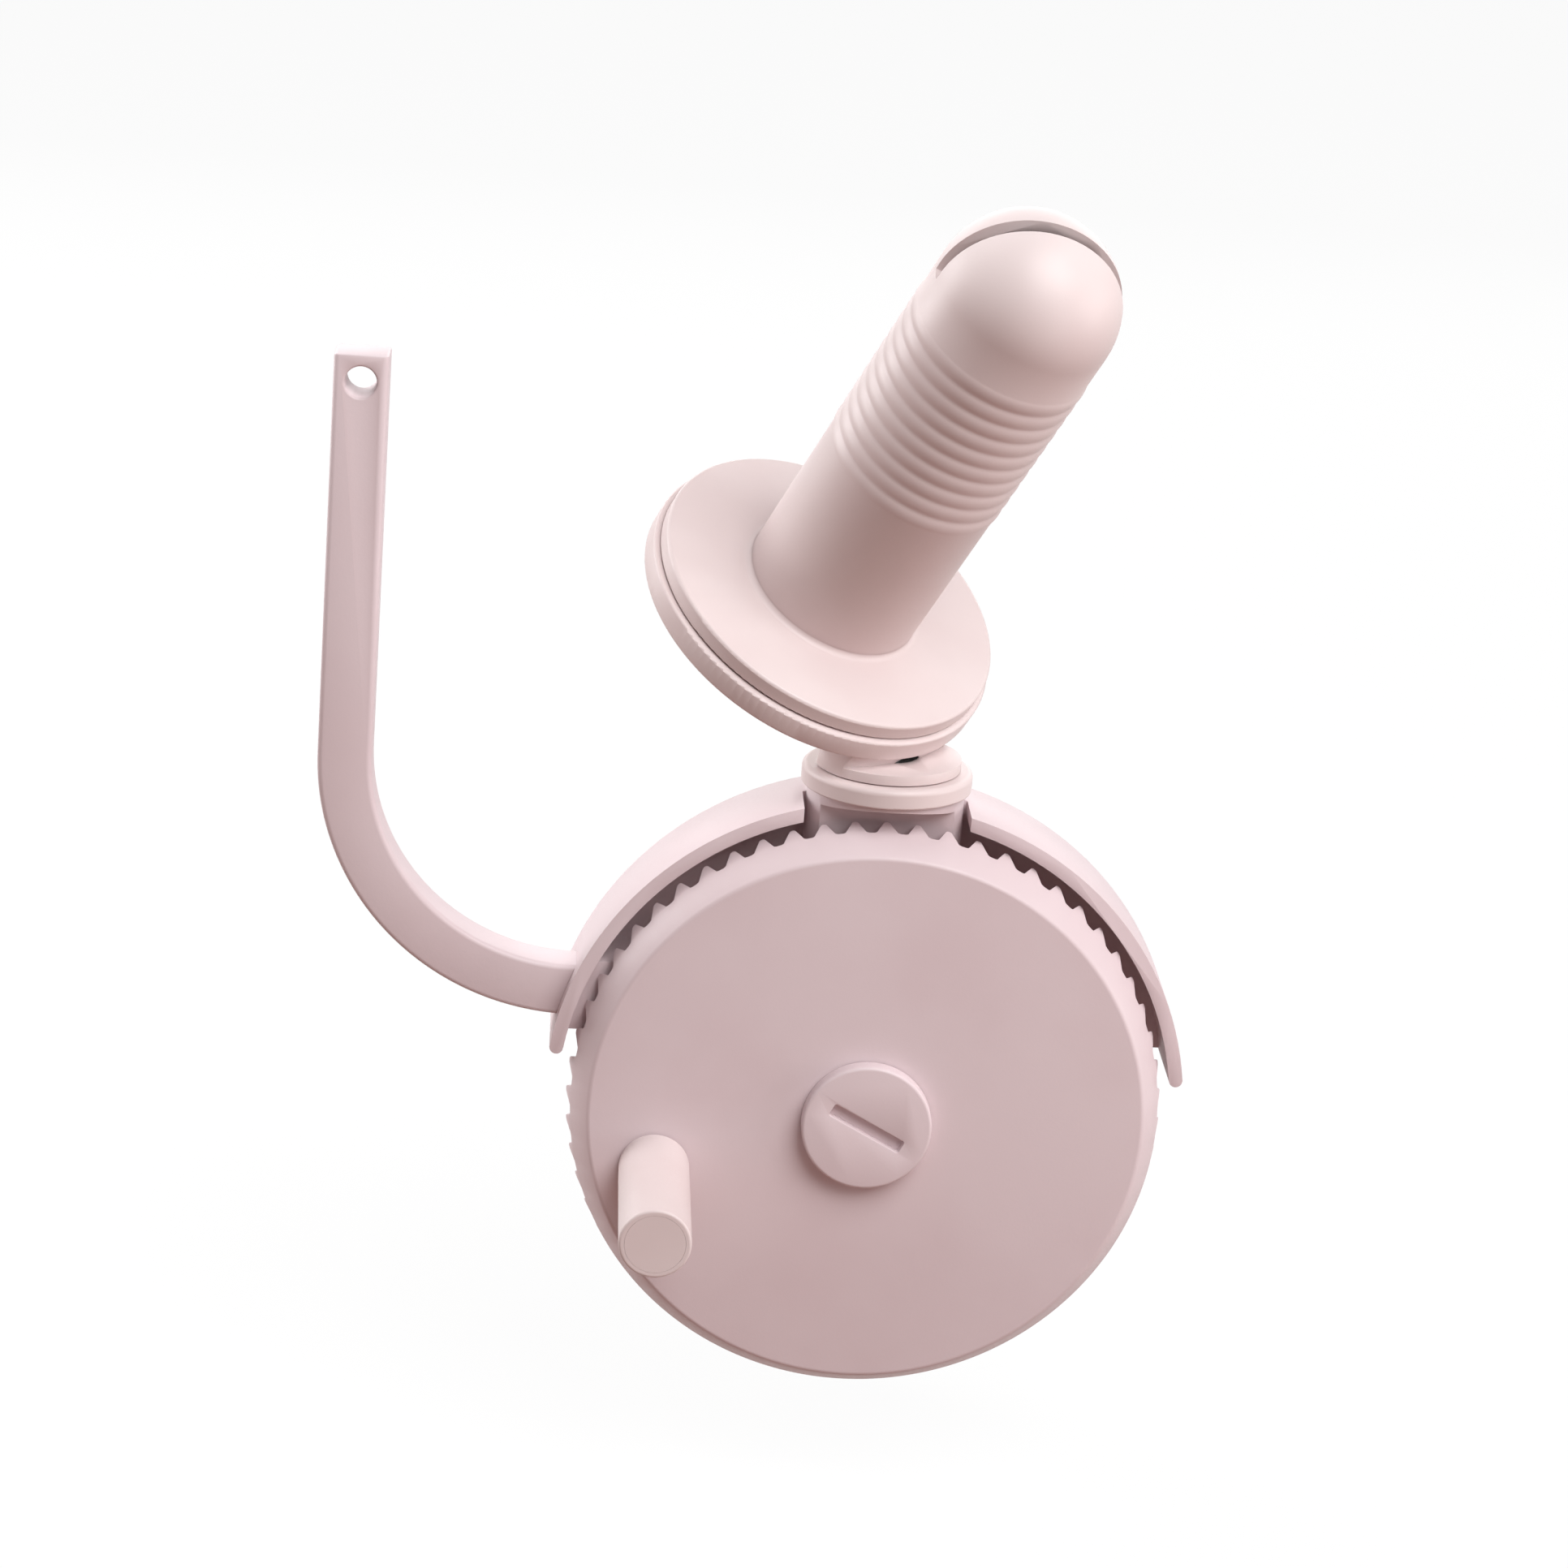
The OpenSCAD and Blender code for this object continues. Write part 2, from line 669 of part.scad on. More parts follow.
// Hexagon nut that holds the post to the shelf.
module post_nut() {
    color(STEEL) on_tower() translate([0, 0, shelf_bottom - post_nut_h]) difference() {
        cylinder(r = post_nut_r, h = post_nut_h, $fn = 6);
        translate([0, 0, -over]) cylinder(r = post_r + seat, h = far);
    }
}

// Bevel gear about the Z axis with its apex at the origin, opening downwards.
module bevel_gear(teeth, cone, bore, first) {
    blank_in = [bevel_in * sin(cone) + bevel_add * cos(cone), -bevel_in * cos(cone) + bevel_add * sin(cone)];
    low = -bevel_out * cos(cone);
    blank_out = [bevel_out * sin(cone) + bevel_add * cos(cone), low + bevel_add * sin(cone)];
    difference() {
        rotate_extrude() polygon([
            [bore, blank_in[1]], blank_in, blank_out, [blank_out[0], low], [bore, low]
        ]);
        for (i = [0 : teeth - 1]) rotate([0, 0, (i + first) * 360 / teeth]) bevel_groove(cone);
    }
}

// One tooth gap along the pitch cone.
module bevel_groove(cone) {
    half = bevel_gap / 2;
    mouth = half + bevel_slope * (bevel_add + over);
    floor_half = half - bevel_slope * bevel_ded;
    rotate([0, 180 - cone, 0]) translate([0, 0, bevel_in - 2 * over]) linear_extrude(bevel_face + 4 * over)
        polygon([
            [-bevel_add - over, -mouth], [bevel_ded, -floor_half],
            [bevel_ded, floor_half], [-bevel_add - over, mouth]
        ]);
}

// Fixed gear on top of the post.
module sun_gear() {
    color(BUSH) on_tower() translate([0, 0, cross_z]) rotate([0, 0, -lean])
        bevel_gear(sun_teeth, sun_cone, post_r + seat, 0.5);
}

// Washer between the shelf and the pinion.
module thrust_washer() {
    color(STEEL) on_tower() translate([0, 0, bay_bottom])
        tube(shaft_r + thrust_washer_w, post_r + room / 2, thrust_washer_t);
}

// Slotted bolt that the wheel turns on.
module axle_bolt() {
    head_y = -play - bolt_head_h;
    shank_end = back_y + web_t - axle_floor;
    color(BODY) on_wheel() along_y() difference() {
        union() {
            translate([0, 0, -play]) mirror([0, 0, 1]) rotate_extrude()
                disc_section(bolt_head_r, bolt_head_h, 0, bolt_edge_r);
            translate([0, 0, -play]) cylinder(r = axle_r, h = boss_front_y + play);
            translate([0, 0, boss_front_y - over])
                cylinder(r = axle_shank_r, h = shank_end - boss_front_y + over);
        }
        rotate([0, 0, bolt_slot_angle]) translate([-bolt_slot_len / 2, -bolt_slot_w / 2, head_y - over])
            cube([bolt_slot_len, bolt_slot_w, bolt_slot_depth + over]);
    }
}

// Washer between the wheel's hub and the axle boss.
module axle_washer() {
    color(STEEL) on_wheel() along_y() translate([0, 0, boss_front_y - axle_washer_t])
        tube(axle_washer_r, axle_r + seat, axle_washer_t);
}

// C-shaped clamp frame with a boss for the screw.
module clamp_frame() {
    color(BODY) difference() {
        union() {
            rotate([90, 0, 90]) translate([0, 0, -jaw_w / 2]) linear_extrude(jaw_w) clamp_outline();
            translate([0, 0, -throat_h - lower_jaw_t - lower_boss_h])
                cylinder(r = screw_r + lower_boss_wall, h = lower_boss_h + over);
        }
        for (sx = [-1, 1]) translate([sx * jaw_w / 2, seat_len / 2, 0]) rotate([0, 0, sx > 0 ? 180 : -90])
            translate([0, 0, -far / 2]) linear_extrude(far) corner(jaw_corner_r);
        translate([0, 0, -far / 2 - throat_h / 2]) cylinder(r = screw_r + run, h = far / 2);
        translate([wheel_pos[0], web_back_y - web_t - over, wheel_pos[2]])
            along_y() cylinder(r = axle_shank_r + seat, h = web_t - axle_floor + seat + over);
        for (sx = [-1, 1], sz = [-1, 1])
            translate([sx * frame_screw_x, web_back_y - web_t - over, wheel_pos[2] + sz * frame_screw_z])
                along_y() cylinder(r = frame_screw_r + seat, h = web_t - frame_screw_floor + seat + over);
    }
}

// Side view of the clamp frame: depth runs right, height runs up, the throat opens to the back.
module clamp_outline() {
    front = web_back_y - web_t;
    low = -throat_h - lower_jaw_t;
    difference() {
        translate([front, low]) square([seat_len / 2 - front, jaw_t - low]);
        translate([web_back_y + throat_r, -throat_h]) square([far, throat_h]);
        translate([web_back_y, -throat_h + throat_r]) square([far, throat_h - 2 * throat_r]);
        for (z = [-throat_r, -throat_h + throat_r]) translate([web_back_y + throat_r, z]) circle(throat_r);
        translate([seat_len / 2, jaw_t]) rotate(180) corner(jaw_tip_r);
        translate([seat_len / 2, low]) rotate(90) corner(lower_tip_r);
    }
}

// Screws from inside the housing into the clamp frame.
module frame_screws() {
    color(STEEL) on_wheel() for (sx = [-1, 1], sz = [-1, 1])
        translate([sx * frame_screw_x, back_in_y, sz * frame_screw_z]) along_y() {
            translate([0, 0, -frame_screw_head_h]) cylinder(r = frame_screw_head_r, h = frame_screw_head_h);
            cylinder(r = frame_screw_r, h = frame_screw_len);
        }
}

// Bent arm with the yarn eye at its tip and a tail for the socket.
module guide_arm() {
    color(BODY) on_wheel() translate([0, arm_mid_y, 0]) difference() {
        union() {
            translate([-arm_reach, 0, arm_root_z + arm_bend_r])
                linear_extrude(arm_top - arm_root_z - arm_bend_r) rounded_rect(arm_w, arm_t, arm_edge_r);
            translate([arm_bend_x, 0, arm_root_z + arm_bend_r]) rotate([90, 0, 0]) rotate([0, 0, 180])
                rotate_extrude(angle = 90) translate([arm_bend_r, 0]) rounded_rect(arm_w, arm_t, arm_edge_r);
            translate([arm_bend_x, 0, arm_root_z]) rotate([90, 0, 90])
                linear_extrude(arm_tail_x - arm_bend_x) rounded_rect(arm_t, arm_w, arm_edge_r);
        }
        translate([-arm_reach, -arm_t, arm_top - eye_drop]) along_y() cylinder(r = eye_r, h = 2 * arm_t);
    }
}

// Crank wheel: a dished disc with a conical rim and flared crown teeth on its back edge.
module drive_wheel() {
    rim_in = wheel_rim_r - tooth_face;
    color(BODY) on_wheel() difference() {
        union() {
            along_y() rotate_extrude() wheel_section(rim_in);
            for (i = [0 : rib_count - 1]) rotate([0, i * 360 / rib_count, 0])
                translate([hub_r - over, wheel_disc_t - over, -rib_t / 2])
                    cube([rim_in - hub_r + 2 * over, rib_h + over, rib_t]);
            translate([handle_x, wheel_disc_t - over, handle_z])
                along_y() cylinder(r = handle_boss_r, h = rib_h + over);
        }
        along_y() translate([0, 0, -over]) cylinder(r = axle_r + run + wheel_bush_wall + seat, h = far);
        translate([handle_x, -over, handle_z]) along_y() cylinder(r = handle_pin_r + seat, h = far);
        for (i = [0 : wheel_teeth - 1]) rotate([0, (i + 0.5) * 360 / wheel_teeth, 0]) crown_gap(rim_in);
    }
}

// Half section of the wheel: radius to the right, depth behind the front face upwards.
module wheel_section(rim_in) {
    cone_r = wheel_rim_r - rim_flare;
    difference() {
        polygon([
            [0, 0], [wheel_face_r, 0], [cone_r, wheel_cone_h], [wheel_rim_r, tooth_tip_y],
            [rim_in, tooth_tip_y], [rim_in, wheel_disc_t],
            [hub_r, wheel_disc_t], [hub_r, hub_end_y], [0, hub_end_y]
        ]);
        edge_rounding([wheel_face_r, 0], atan2(wheel_cone_h, cone_r - wheel_face_r));
    }
}

// What a rounding takes away where the front face meets the cone, whose slope is given.
module edge_rounding(at, slope) {
    reach = wheel_edge_r * tan(slope / 2);
    translate(at) difference() {
        polygon([[-reach, 0], [-reach, -over], [over, -over], [reach * cos(slope), reach * sin(slope)]]);
        translate([-reach, wheel_edge_r]) circle(wheel_edge_r);
    }
}

// One gap between two crown teeth at the top of the wheel.
module crown_gap(rim_in) {
    half_floor = tooth_gap_floor / 2;
    half_mouth = tooth_gap_mouth / 2 + over * tooth_slope;
    translate([0, 0, rim_in - over]) linear_extrude(tooth_face + 2 * over) polygon([
        [-half_floor, tooth_floor], [half_floor, tooth_floor],
        [half_mouth, tooth_tip_y + over], [-half_mouth, tooth_tip_y + over]
    ]);
}

// Bush pressed into the wheel's hub.
module wheel_bush() {
    color(BUSH) on_wheel() along_y()
        tube(axle_r + run + wheel_bush_wall, axle_r + run, hub_end_y);
}

// Fixed pin that carries the grip, riveted behind the wheel's disc.
module handle_pin() {
    tip_y = -grip_len + grip_cap_t + play;
    back = wheel_disc_t + rib_h;
    color(STEEL) on_wheel() translate([handle_x, 0, handle_z]) along_y() {
        translate([0, 0, tip_y]) cylinder(r = handle_pin_r, h = back + rivet_t - tip_y);
        translate([0, 0, tip_y]) cylinder(r = handle_head_r, h = handle_head_t);
        translate([0, 0, back]) cylinder(r = rivet_r, h = rivet_t);
    }
}

// Grip that turns on the pin.
module handle_grip() {
    recess_y = -grip_len + grip_cap_t + head_recess;
    color(LIGHT) on_wheel() translate([handle_x, 0, handle_z]) along_y() difference() {
        translate([0, 0, -grip_len]) rotate_extrude()
            disc_section(grip_r, grip_len - play, grip_edge_r, grip_edge_r);
        translate([0, 0, -far / 2]) cylinder(r = grip_bore_r, h = far);
        translate([0, 0, -grip_len - over])
            cylinder(r = handle_head_r + room / 2, h = recess_y + grip_len + over);
        translate([0, 0, -grip_len - over]) cylinder(r = grip_cap_r + seat, h = grip_cap_t + over);
    }
}

// Cap that closes the grip's end.
module grip_cap() {
    color(LIGHT) on_wheel() translate([handle_x, -grip_len, handle_z]) along_y()
        cylinder(r = grip_cap_r, h = grip_cap_t);
}

// Turning head: floor, neck and tilted plate, open where the spindle's gear runs.
module tilt_head() {
    color(LIGHT) on_tower() difference() {
        union() {
            translate([0, 0, head_bottom]) cylinder(r = step_r, h = floor_top - head_bottom);
            translate([0, 0, neck_bottom]) cylinder(r = neck_r, h = neck_floor);
            intersection() {
                translate([0, 0, neck_bottom]) cylinder(r = neck_r, h = far);
                in_tilt() translate([0, 0, -plate_bottom - far / 2])
                    cylinder(r = plate_r - plate_edge_r, h = far / 2 + plate_t / 2);
            }
            in_tilt() translate([0, 0, -plate_bottom]) rotate_extrude()
                disc_section(plate_r, plate_t, plate_edge_r, plate_edge_r / 2);
            in_tilt() translate([0, 0, -boss_bottom])
                cylinder(r = spindle_bush_r + boss_wall, h = boss_h + over);
        }
        in_tilt() translate([0, 0, -far]) cylinder(r = gear_out_r + room, h = far - gear_top + play);
        translate([0, 0, floor_top]) cylinder(r = cavity_r, h = far);
        translate([0, 0, head_bottom - over]) cylinder(r = shaft_r + seat, h = far);
        in_tilt() translate([0, 0, -far]) cylinder(r = spindle_bush_r + seat, h = far);
    }
}

// Hollow shaft between the pinion and the head.
module carriage_shaft() {
    color(STEEL) on_tower() translate([0, 0, pinion_bottom])
        tube(shaft_r, shaft_bore_r, floor_top - pinion_bottom);
}

// Spur pinion under the tower.
module drive_pinion() {
    hole_z = pinion_h / 2;
    color(LIGHT) on_tower() translate([0, 0, pinion_bottom]) difference() {
        linear_extrude(pinion_h) union() {
            circle(pinion_root_r);
            for (i = [0 : pinion_teeth - 1]) rotate((i + 0.5) * 360 / pinion_teeth - 90) pinion_tooth();
        }
        translate([0, 0, -over]) cylinder(r = shaft_r + seat, h = pinion_h + 2 * over);
        translate([0, 0, hole_z]) rotate([-90, 0, 0]) cylinder(r = small_screw_r + seat, h = far);
    }
}

// One pinion tooth along +X, with straight flanks that lean in towards the tip.
module pinion_tooth() {
    half = pinion_tooth_t / 2;
    tip_half = half - (pinion_tip_r - pinion_pitch_r) * pinion_tip_lean;
    root_half = half + (pinion_pitch_r - pinion_root_r) * pinion_root_lean;
    polygon([
        [0, -root_half], [pinion_root_r, -root_half], [pinion_pitch_r, -half], [pinion_tip_r, -tip_half],
        [pinion_tip_r, tip_half], [pinion_pitch_r, half], [pinion_root_r, root_half], [0, root_half]
    ]);
}

// Set screw that locks the pinion to its shaft.
module pinion_screw() {
    color(STEEL) on_tower() translate([0, shaft_r + seat, pinion_bottom + pinion_h / 2]) rotate([-90, 0, 0])
        cylinder(r = small_screw_r, h = pinion_root_r - shaft_r - 2 * seat);
}

// Bush in the plate that the spindle's shaft turns in.
module spindle_bush() {
    color(BUSH) on_tilt() translate([0, 0, -boss_bottom])
        tube(spindle_bush_r, spindle_shaft_r + run, boss_bottom - plate_top);
}

// Hollow spindle with grip rings, a domed end and a yarn slot.
module spindle_body() {
    color(LIGHT) on_tilt() translate([0, 0, -flange_below_cross]) difference() {
        union() {
            cylinder(r = spindle_r, h = dome_z);
            translate([0, 0, dome_z]) sphere(spindle_r);
            for (i = [0 : ring_count - 1]) translate([0, 0, ring_start + i * ring_pitch])
                rotate_extrude() translate([spindle_r + ring_h - ring_r, 0])
                    circle(ring_r, $fn = ring_facets);
        }
        translate([0, 0, -over]) cylinder(r = spindle_bore_r, h = dome_z + over);
        translate([0, 0, dome_z]) sphere(spindle_bore_r);
        rotate([0, 0, yarn_slot_turn]) translate([-yarn_slot_w / 2, -far / 2, spindle_len - yarn_slot_depth])
            cube([yarn_slot_w, far, far]);
    }
}

// Disc at the spindle's foot, with a spigot for the spindle and a boss for the shaft.
module spindle_flange() {
    spigot_r = spindle_bore_r - seat;
    color(LIGHT) on_tilt() translate([0, 0, -flange_bottom]) difference() {
        union() {
            rotate_extrude() disc_section(flange_r, flange_t, flange_edge_r / 2, flange_edge_r);
            translate([0, 0, flange_t - over]) tube(spigot_r, spigot_r - spigot_wall, spigot_h + over);
            translate([0, 0, flange_t - over]) cylinder(r = flange_boss_r, h = flange_boss_h + over);
            translate([0, 0, flange_t]) rotate_extrude() foot_section();
        }
        translate([0, 0, -over]) cylinder(r = spindle_shaft_r + seat, h = far);
    }
}

// Half section of the fillet round the spindle's foot.
module foot_section() {
    inner = spindle_r + seat;
    difference() {
        translate([inner, -over]) square([foot_fillet, foot_fillet + over]);
        translate([inner + foot_fillet, foot_fillet]) circle(foot_fillet);
    }
}

// Shaft that joins the flange to the gear.
module spindle_shaft() {
    top = flange_below_cross - flange_boss_h;
    color(STEEL) on_tilt() translate([0, 0, -hub_bottom]) difference() {
        cylinder(r = spindle_shaft_r, h = hub_bottom - top);
        translate([0, 0, -over]) cylinder(r = small_screw_r + seat, h = spindle_screw_len + 2 * over);
    }
}

// Bevel gear under the plate.
module spindle_gear() {
    color(BUSH) on_tilt() difference() {
        union() {
            bevel_gear(spindle_teeth, gear_cone, spindle_shaft_r, 0);
            translate([0, 0, -hub_bottom])
                cylinder(r = spindle_shaft_r + gear_hub_wall, h = gear_hub_h + over);
        }
        translate([0, 0, -far]) cylinder(r = spindle_shaft_r + seat, h = far);
    }
}

// Washer under the gear.
module spindle_washer() {
    color(STEEL) on_tilt() translate([0, 0, -hub_bottom - spindle_washer_t])
        tube(spindle_washer_r, small_screw_r + seat, spindle_washer_t);
}

// Screw that holds gear and spindle together.
module spindle_screw() {
    under = hub_bottom + spindle_washer_t;
    color(STEEL) on_tilt() translate([0, 0, -under]) {
        translate([0, 0, -small_head_h]) cylinder(r = small_head_r, h = small_head_h);
        cylinder(r = small_screw_r, h = spindle_washer_t + spindle_screw_len);
    }
}

// Pad that presses on the table from below.
module clamp_pad() {
    color(LIGHT) translate([0, 0, pad_bottom]) difference() {
        rotate_extrude() disc_section(pad_r, pad_t, pad_low_edge_r, pad_edge_r);
        translate([0, 0, -over]) cylinder(r = screw_nose_r + run, h = screw_nose + play + over);
    }
}

// Clamp screw with a plain nose in the pad.
module clamp_screw() {
    color(STEEL) {
        translate([0, 0, knob_top - knob_h + knob_floor])
            cylinder(r = screw_r, h = screw_len - play + knob_h - knob_floor);
        translate([0, 0, pad_bottom - over - play]) cylinder(r = screw_nose_r, h = screw_nose + over);
    }
}

// Fluted knob on the lower end of the screw.
module clamp_knob() {
    color(BODY) translate([0, 0, knob_top - knob_h]) difference() {
        rotate_extrude() disc_section(knob_r, knob_h, knob_edge_r, knob_edge_r);
        for (i = [0 : knob_flutes - 1]) rotate([0, 0, i * 360 / knob_flutes])
            translate([knob_r + flute_r / 2, 0, -over]) cylinder(r = flute_r, h = knob_h + 2 * over);
        translate([0, 0, knob_floor]) cylinder(r = screw_r + seat, h = knob_h);
    }
}

housing();
tower_collar();
tower_bush();
center_post();
post_nut();
sun_gear();
thrust_washer();
axle_bolt();
axle_washer();
clamp_frame();
frame_screws();
guide_arm();
drive_wheel();
wheel_bush();
handle_pin();
handle_grip();
grip_cap();
tilt_head();
carriage_shaft();
drive_pinion();
pinion_screw();
spindle_bush();
spindle_body();
spindle_flange();
spindle_shaft();
spindle_gear();
spindle_washer();
spindle_screw();
clamp_pad();
clamp_screw();
clamp_knob();
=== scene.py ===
import math

import bpy
from bpy.props import FloatProperty, FloatVectorProperty, IntProperty, PointerProperty
from mathutils import Matrix, Vector


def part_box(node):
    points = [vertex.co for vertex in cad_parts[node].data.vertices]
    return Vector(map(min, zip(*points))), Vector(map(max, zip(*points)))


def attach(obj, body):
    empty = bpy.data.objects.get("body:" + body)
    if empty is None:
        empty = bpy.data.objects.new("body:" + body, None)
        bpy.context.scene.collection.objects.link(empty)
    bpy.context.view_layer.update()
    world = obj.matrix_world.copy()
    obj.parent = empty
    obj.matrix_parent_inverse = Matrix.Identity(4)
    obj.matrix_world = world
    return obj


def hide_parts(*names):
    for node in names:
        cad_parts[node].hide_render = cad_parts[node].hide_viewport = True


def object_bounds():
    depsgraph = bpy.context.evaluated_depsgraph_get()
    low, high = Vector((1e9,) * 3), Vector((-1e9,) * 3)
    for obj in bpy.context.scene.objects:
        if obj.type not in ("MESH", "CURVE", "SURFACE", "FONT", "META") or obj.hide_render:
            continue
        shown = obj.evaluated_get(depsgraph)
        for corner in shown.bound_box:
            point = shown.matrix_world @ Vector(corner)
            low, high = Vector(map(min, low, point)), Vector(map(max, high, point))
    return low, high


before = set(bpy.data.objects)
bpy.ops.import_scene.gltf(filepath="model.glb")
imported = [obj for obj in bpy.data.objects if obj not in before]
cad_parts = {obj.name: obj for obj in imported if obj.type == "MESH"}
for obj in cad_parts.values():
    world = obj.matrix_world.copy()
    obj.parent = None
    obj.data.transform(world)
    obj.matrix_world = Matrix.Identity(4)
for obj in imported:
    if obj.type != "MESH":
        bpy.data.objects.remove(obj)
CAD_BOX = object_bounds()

bl_info = {
    "name": "Yarn Ball Winder",
    "version": (1, 0, 0),
    "blender": (4, 5, 0),
    "location": "View3D > Sidebar > Winder",
    "description": "Models the moulded pieces of a hand-cranked yarn ball winder and lights them",
    "category": "Object",
}

MM = 0.001
WELD = 1e-6
FULL_TURN = 2 * math.pi

# Places that the pieces share, in the part's frame
WHEEL_LOW, WHEEL_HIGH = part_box("drive_wheel")
AXLE = Vector((0.0, WHEEL_LOW.y, (WHEEL_LOW.z + WHEEL_HIGH.z) / 2))
ON_WHEEL = Matrix.Translation(AXLE) @ Matrix.Rotation(-math.pi / 2, 4, "X")

# Facets round a full turn
PIN_STEPS = 48
EYE_STEPS = 64
PAD_STEPS = 96
BOLT_STEPS = 128
SPINDLE_STEPS = 144
THREAD_STEPS = 40

# Facets of one finger flute, of the arm's quarter bend, of the dome's quarter and across one grip ring
FLUTE_STEPS = 12
BEND_STEPS = 48
DOME_STEPS = 18
RING_STEPS = 8

# Facets across a rounded edge
EDGE_SEGMENTS = 2
RIM_SEGMENTS = 3
CORNER_SEGMENTS = 4
KNOB_SEGMENTS = 5

# Angles in degrees: edges over a crease are rounded off or stay sharp, and edges under FLAT are dissolved
CREASE = 35
THREAD_CREASE = 40
HEAD_CREASE = 45
DRAWN_CREASE = 50
FLAT = 0.2

# Crank wheel: fine edges and fillets, and how far the ribs and the boss sink into their neighbours
TIP_EDGE = 0.35 * MM
WEB_FILLET = 1.0 * MM
HUB_EDGE = 0.4 * MM
RIB_EDGE = 0.4 * MM
BOSS_EDGE = 0.5 * MM
SUNK = 0.5 * MM

# Axle bolt: fine edges of head, shank and slot, and the margin within which the slot's rim is found
HEAD_BACK_EDGE = 0.2 * MM
SHANK_EDGE = 0.6 * MM
SLOT_CORNER = 0.5 * MM
SLOT_RIM = 0.22 * MM
SLOT_MARGIN = 0.1 * MM

# Guide arm: margin within which the eye's rim is found
EYE_MARGIN = 0.02 * MM

# Clamp screw: where the thread's flanks begin and end, as shares of one pitch
FLANK_UP = (0.2, 0.4)
FLANK_DOWN = (0.65, 0.85)

# Clamp screw: turns wound beyond its length, and how many turns below its lower end the winding starts
SPARE_TURNS = 2
START_TURNS = 1.5

# Clamp screw: gap between its thread and the pad, and how far its nose is sunk in and rounded
PAD_GAP = 0.3 * MM
NOSE_SUNK = MM
NOSE_EDGE = 0.4 * MM

# Clamp knob and pad: fits on the screw, depths, edges, and the grooves as shares of the pad's radius
KNOB_FIT = 0.04 * MM
KNOB_FLOOR = 3 * MM
PAD_FIT = 0.06 * MM
PAD_POCKET = 3.3 * MM
PAD_FACE_EDGE = 0.8 * MM
PAD_BACK_EDGE = 1.5 * MM
GROOVES = (0.3, 0.5, 0.7)
GROOVE_HALF = 0.5 * MM

# Moulded surface: detail of its two noises, the ranges of them that show, and the depth of its relief
CLOUD_DETAIL = 3.0
GRAIN_DETAIL = 2.0
CLOUD_RANGE = (0.35, 0.7)
GRAIN_RANGE = (0.3, 0.7)
RELIEF_DEPTH = 0.05 * MM

# The floor lies so far under the part that the knob clears it when the screw is turned right down
SCREW_DROP = 0.013
FLOOR_Z = CAD_BOX[0][2] - SCREW_DROP
FLOOR_SIZE = 16.0
FLOOR_ROUGHNESS = 0.9

# Light that the floor sends up to the object, light of the sky, and plain white
FLOOR_BOUNCE = (0.26, 0.12, 0.09, 1.0)
SKY_TINT = (1.0, 0.99, 0.98, 1.0)
WHITE = (1.0, 1.0, 1.0, 1.0)

# Lamps: name, place, width, height and the setting that holds the power; all point at AIM
AIM = Vector((-0.02, -0.04, 0.05))
LAMPS = (
    ("Key Lamp", (0.6, -1.0, 1.3), 1.2, 1.2, "key_power"),
    ("Top Lamp", (-0.75, 0.35, 1.2), 1.0, 1.0, "top_power"),
    ("Left Lamp", (-1.1, 0.5, 0.4), 0.7, 0.7, "left_power"),
    ("Right Lamp", (1.2, -0.25, 0.1), 0.7, 0.7, "right_power"),
    ("Back Lamp", (0.0, 1.3, 0.5), 1.8, 0.6, "back_power"),
)

# Camera: sensor in millimetres and nearest distance in metres
SENSOR = 36.0
CLIP_START = 0.01


def length(default, name, text):
    """A size in metres that a user may change."""
    return FloatProperty(name=name, description=text, default=default, min=0.0, unit="LENGTH", precision=5)


def share(default, name, text):
    """A plain number from 0 to 1."""
    return FloatProperty(name=name, description=text, default=default, min=0.0, max=1.0)


def power(default, name, text):
    """Power of a lamp in watts."""
    return FloatProperty(name=name, description=text, default=default, min=0.0, unit="POWER")


def angle(default, name, text):
    """An angle, given in degrees."""
    return FloatProperty(name=name, description=text, default=math.radians(default), subtype="ANGLE")


def colour(default, name, text):
    """A colour, given as its 8-bit display values and kept as linear light."""
    linear = [(v / 255 / 12.92) if v <= 10 else ((v / 255 + 0.055) / 1.055) ** 2.4 for v in default]
    return FloatVectorProperty(name=name, description=text, default=linear, subtype="COLOR", min=0.0, max=1.0)


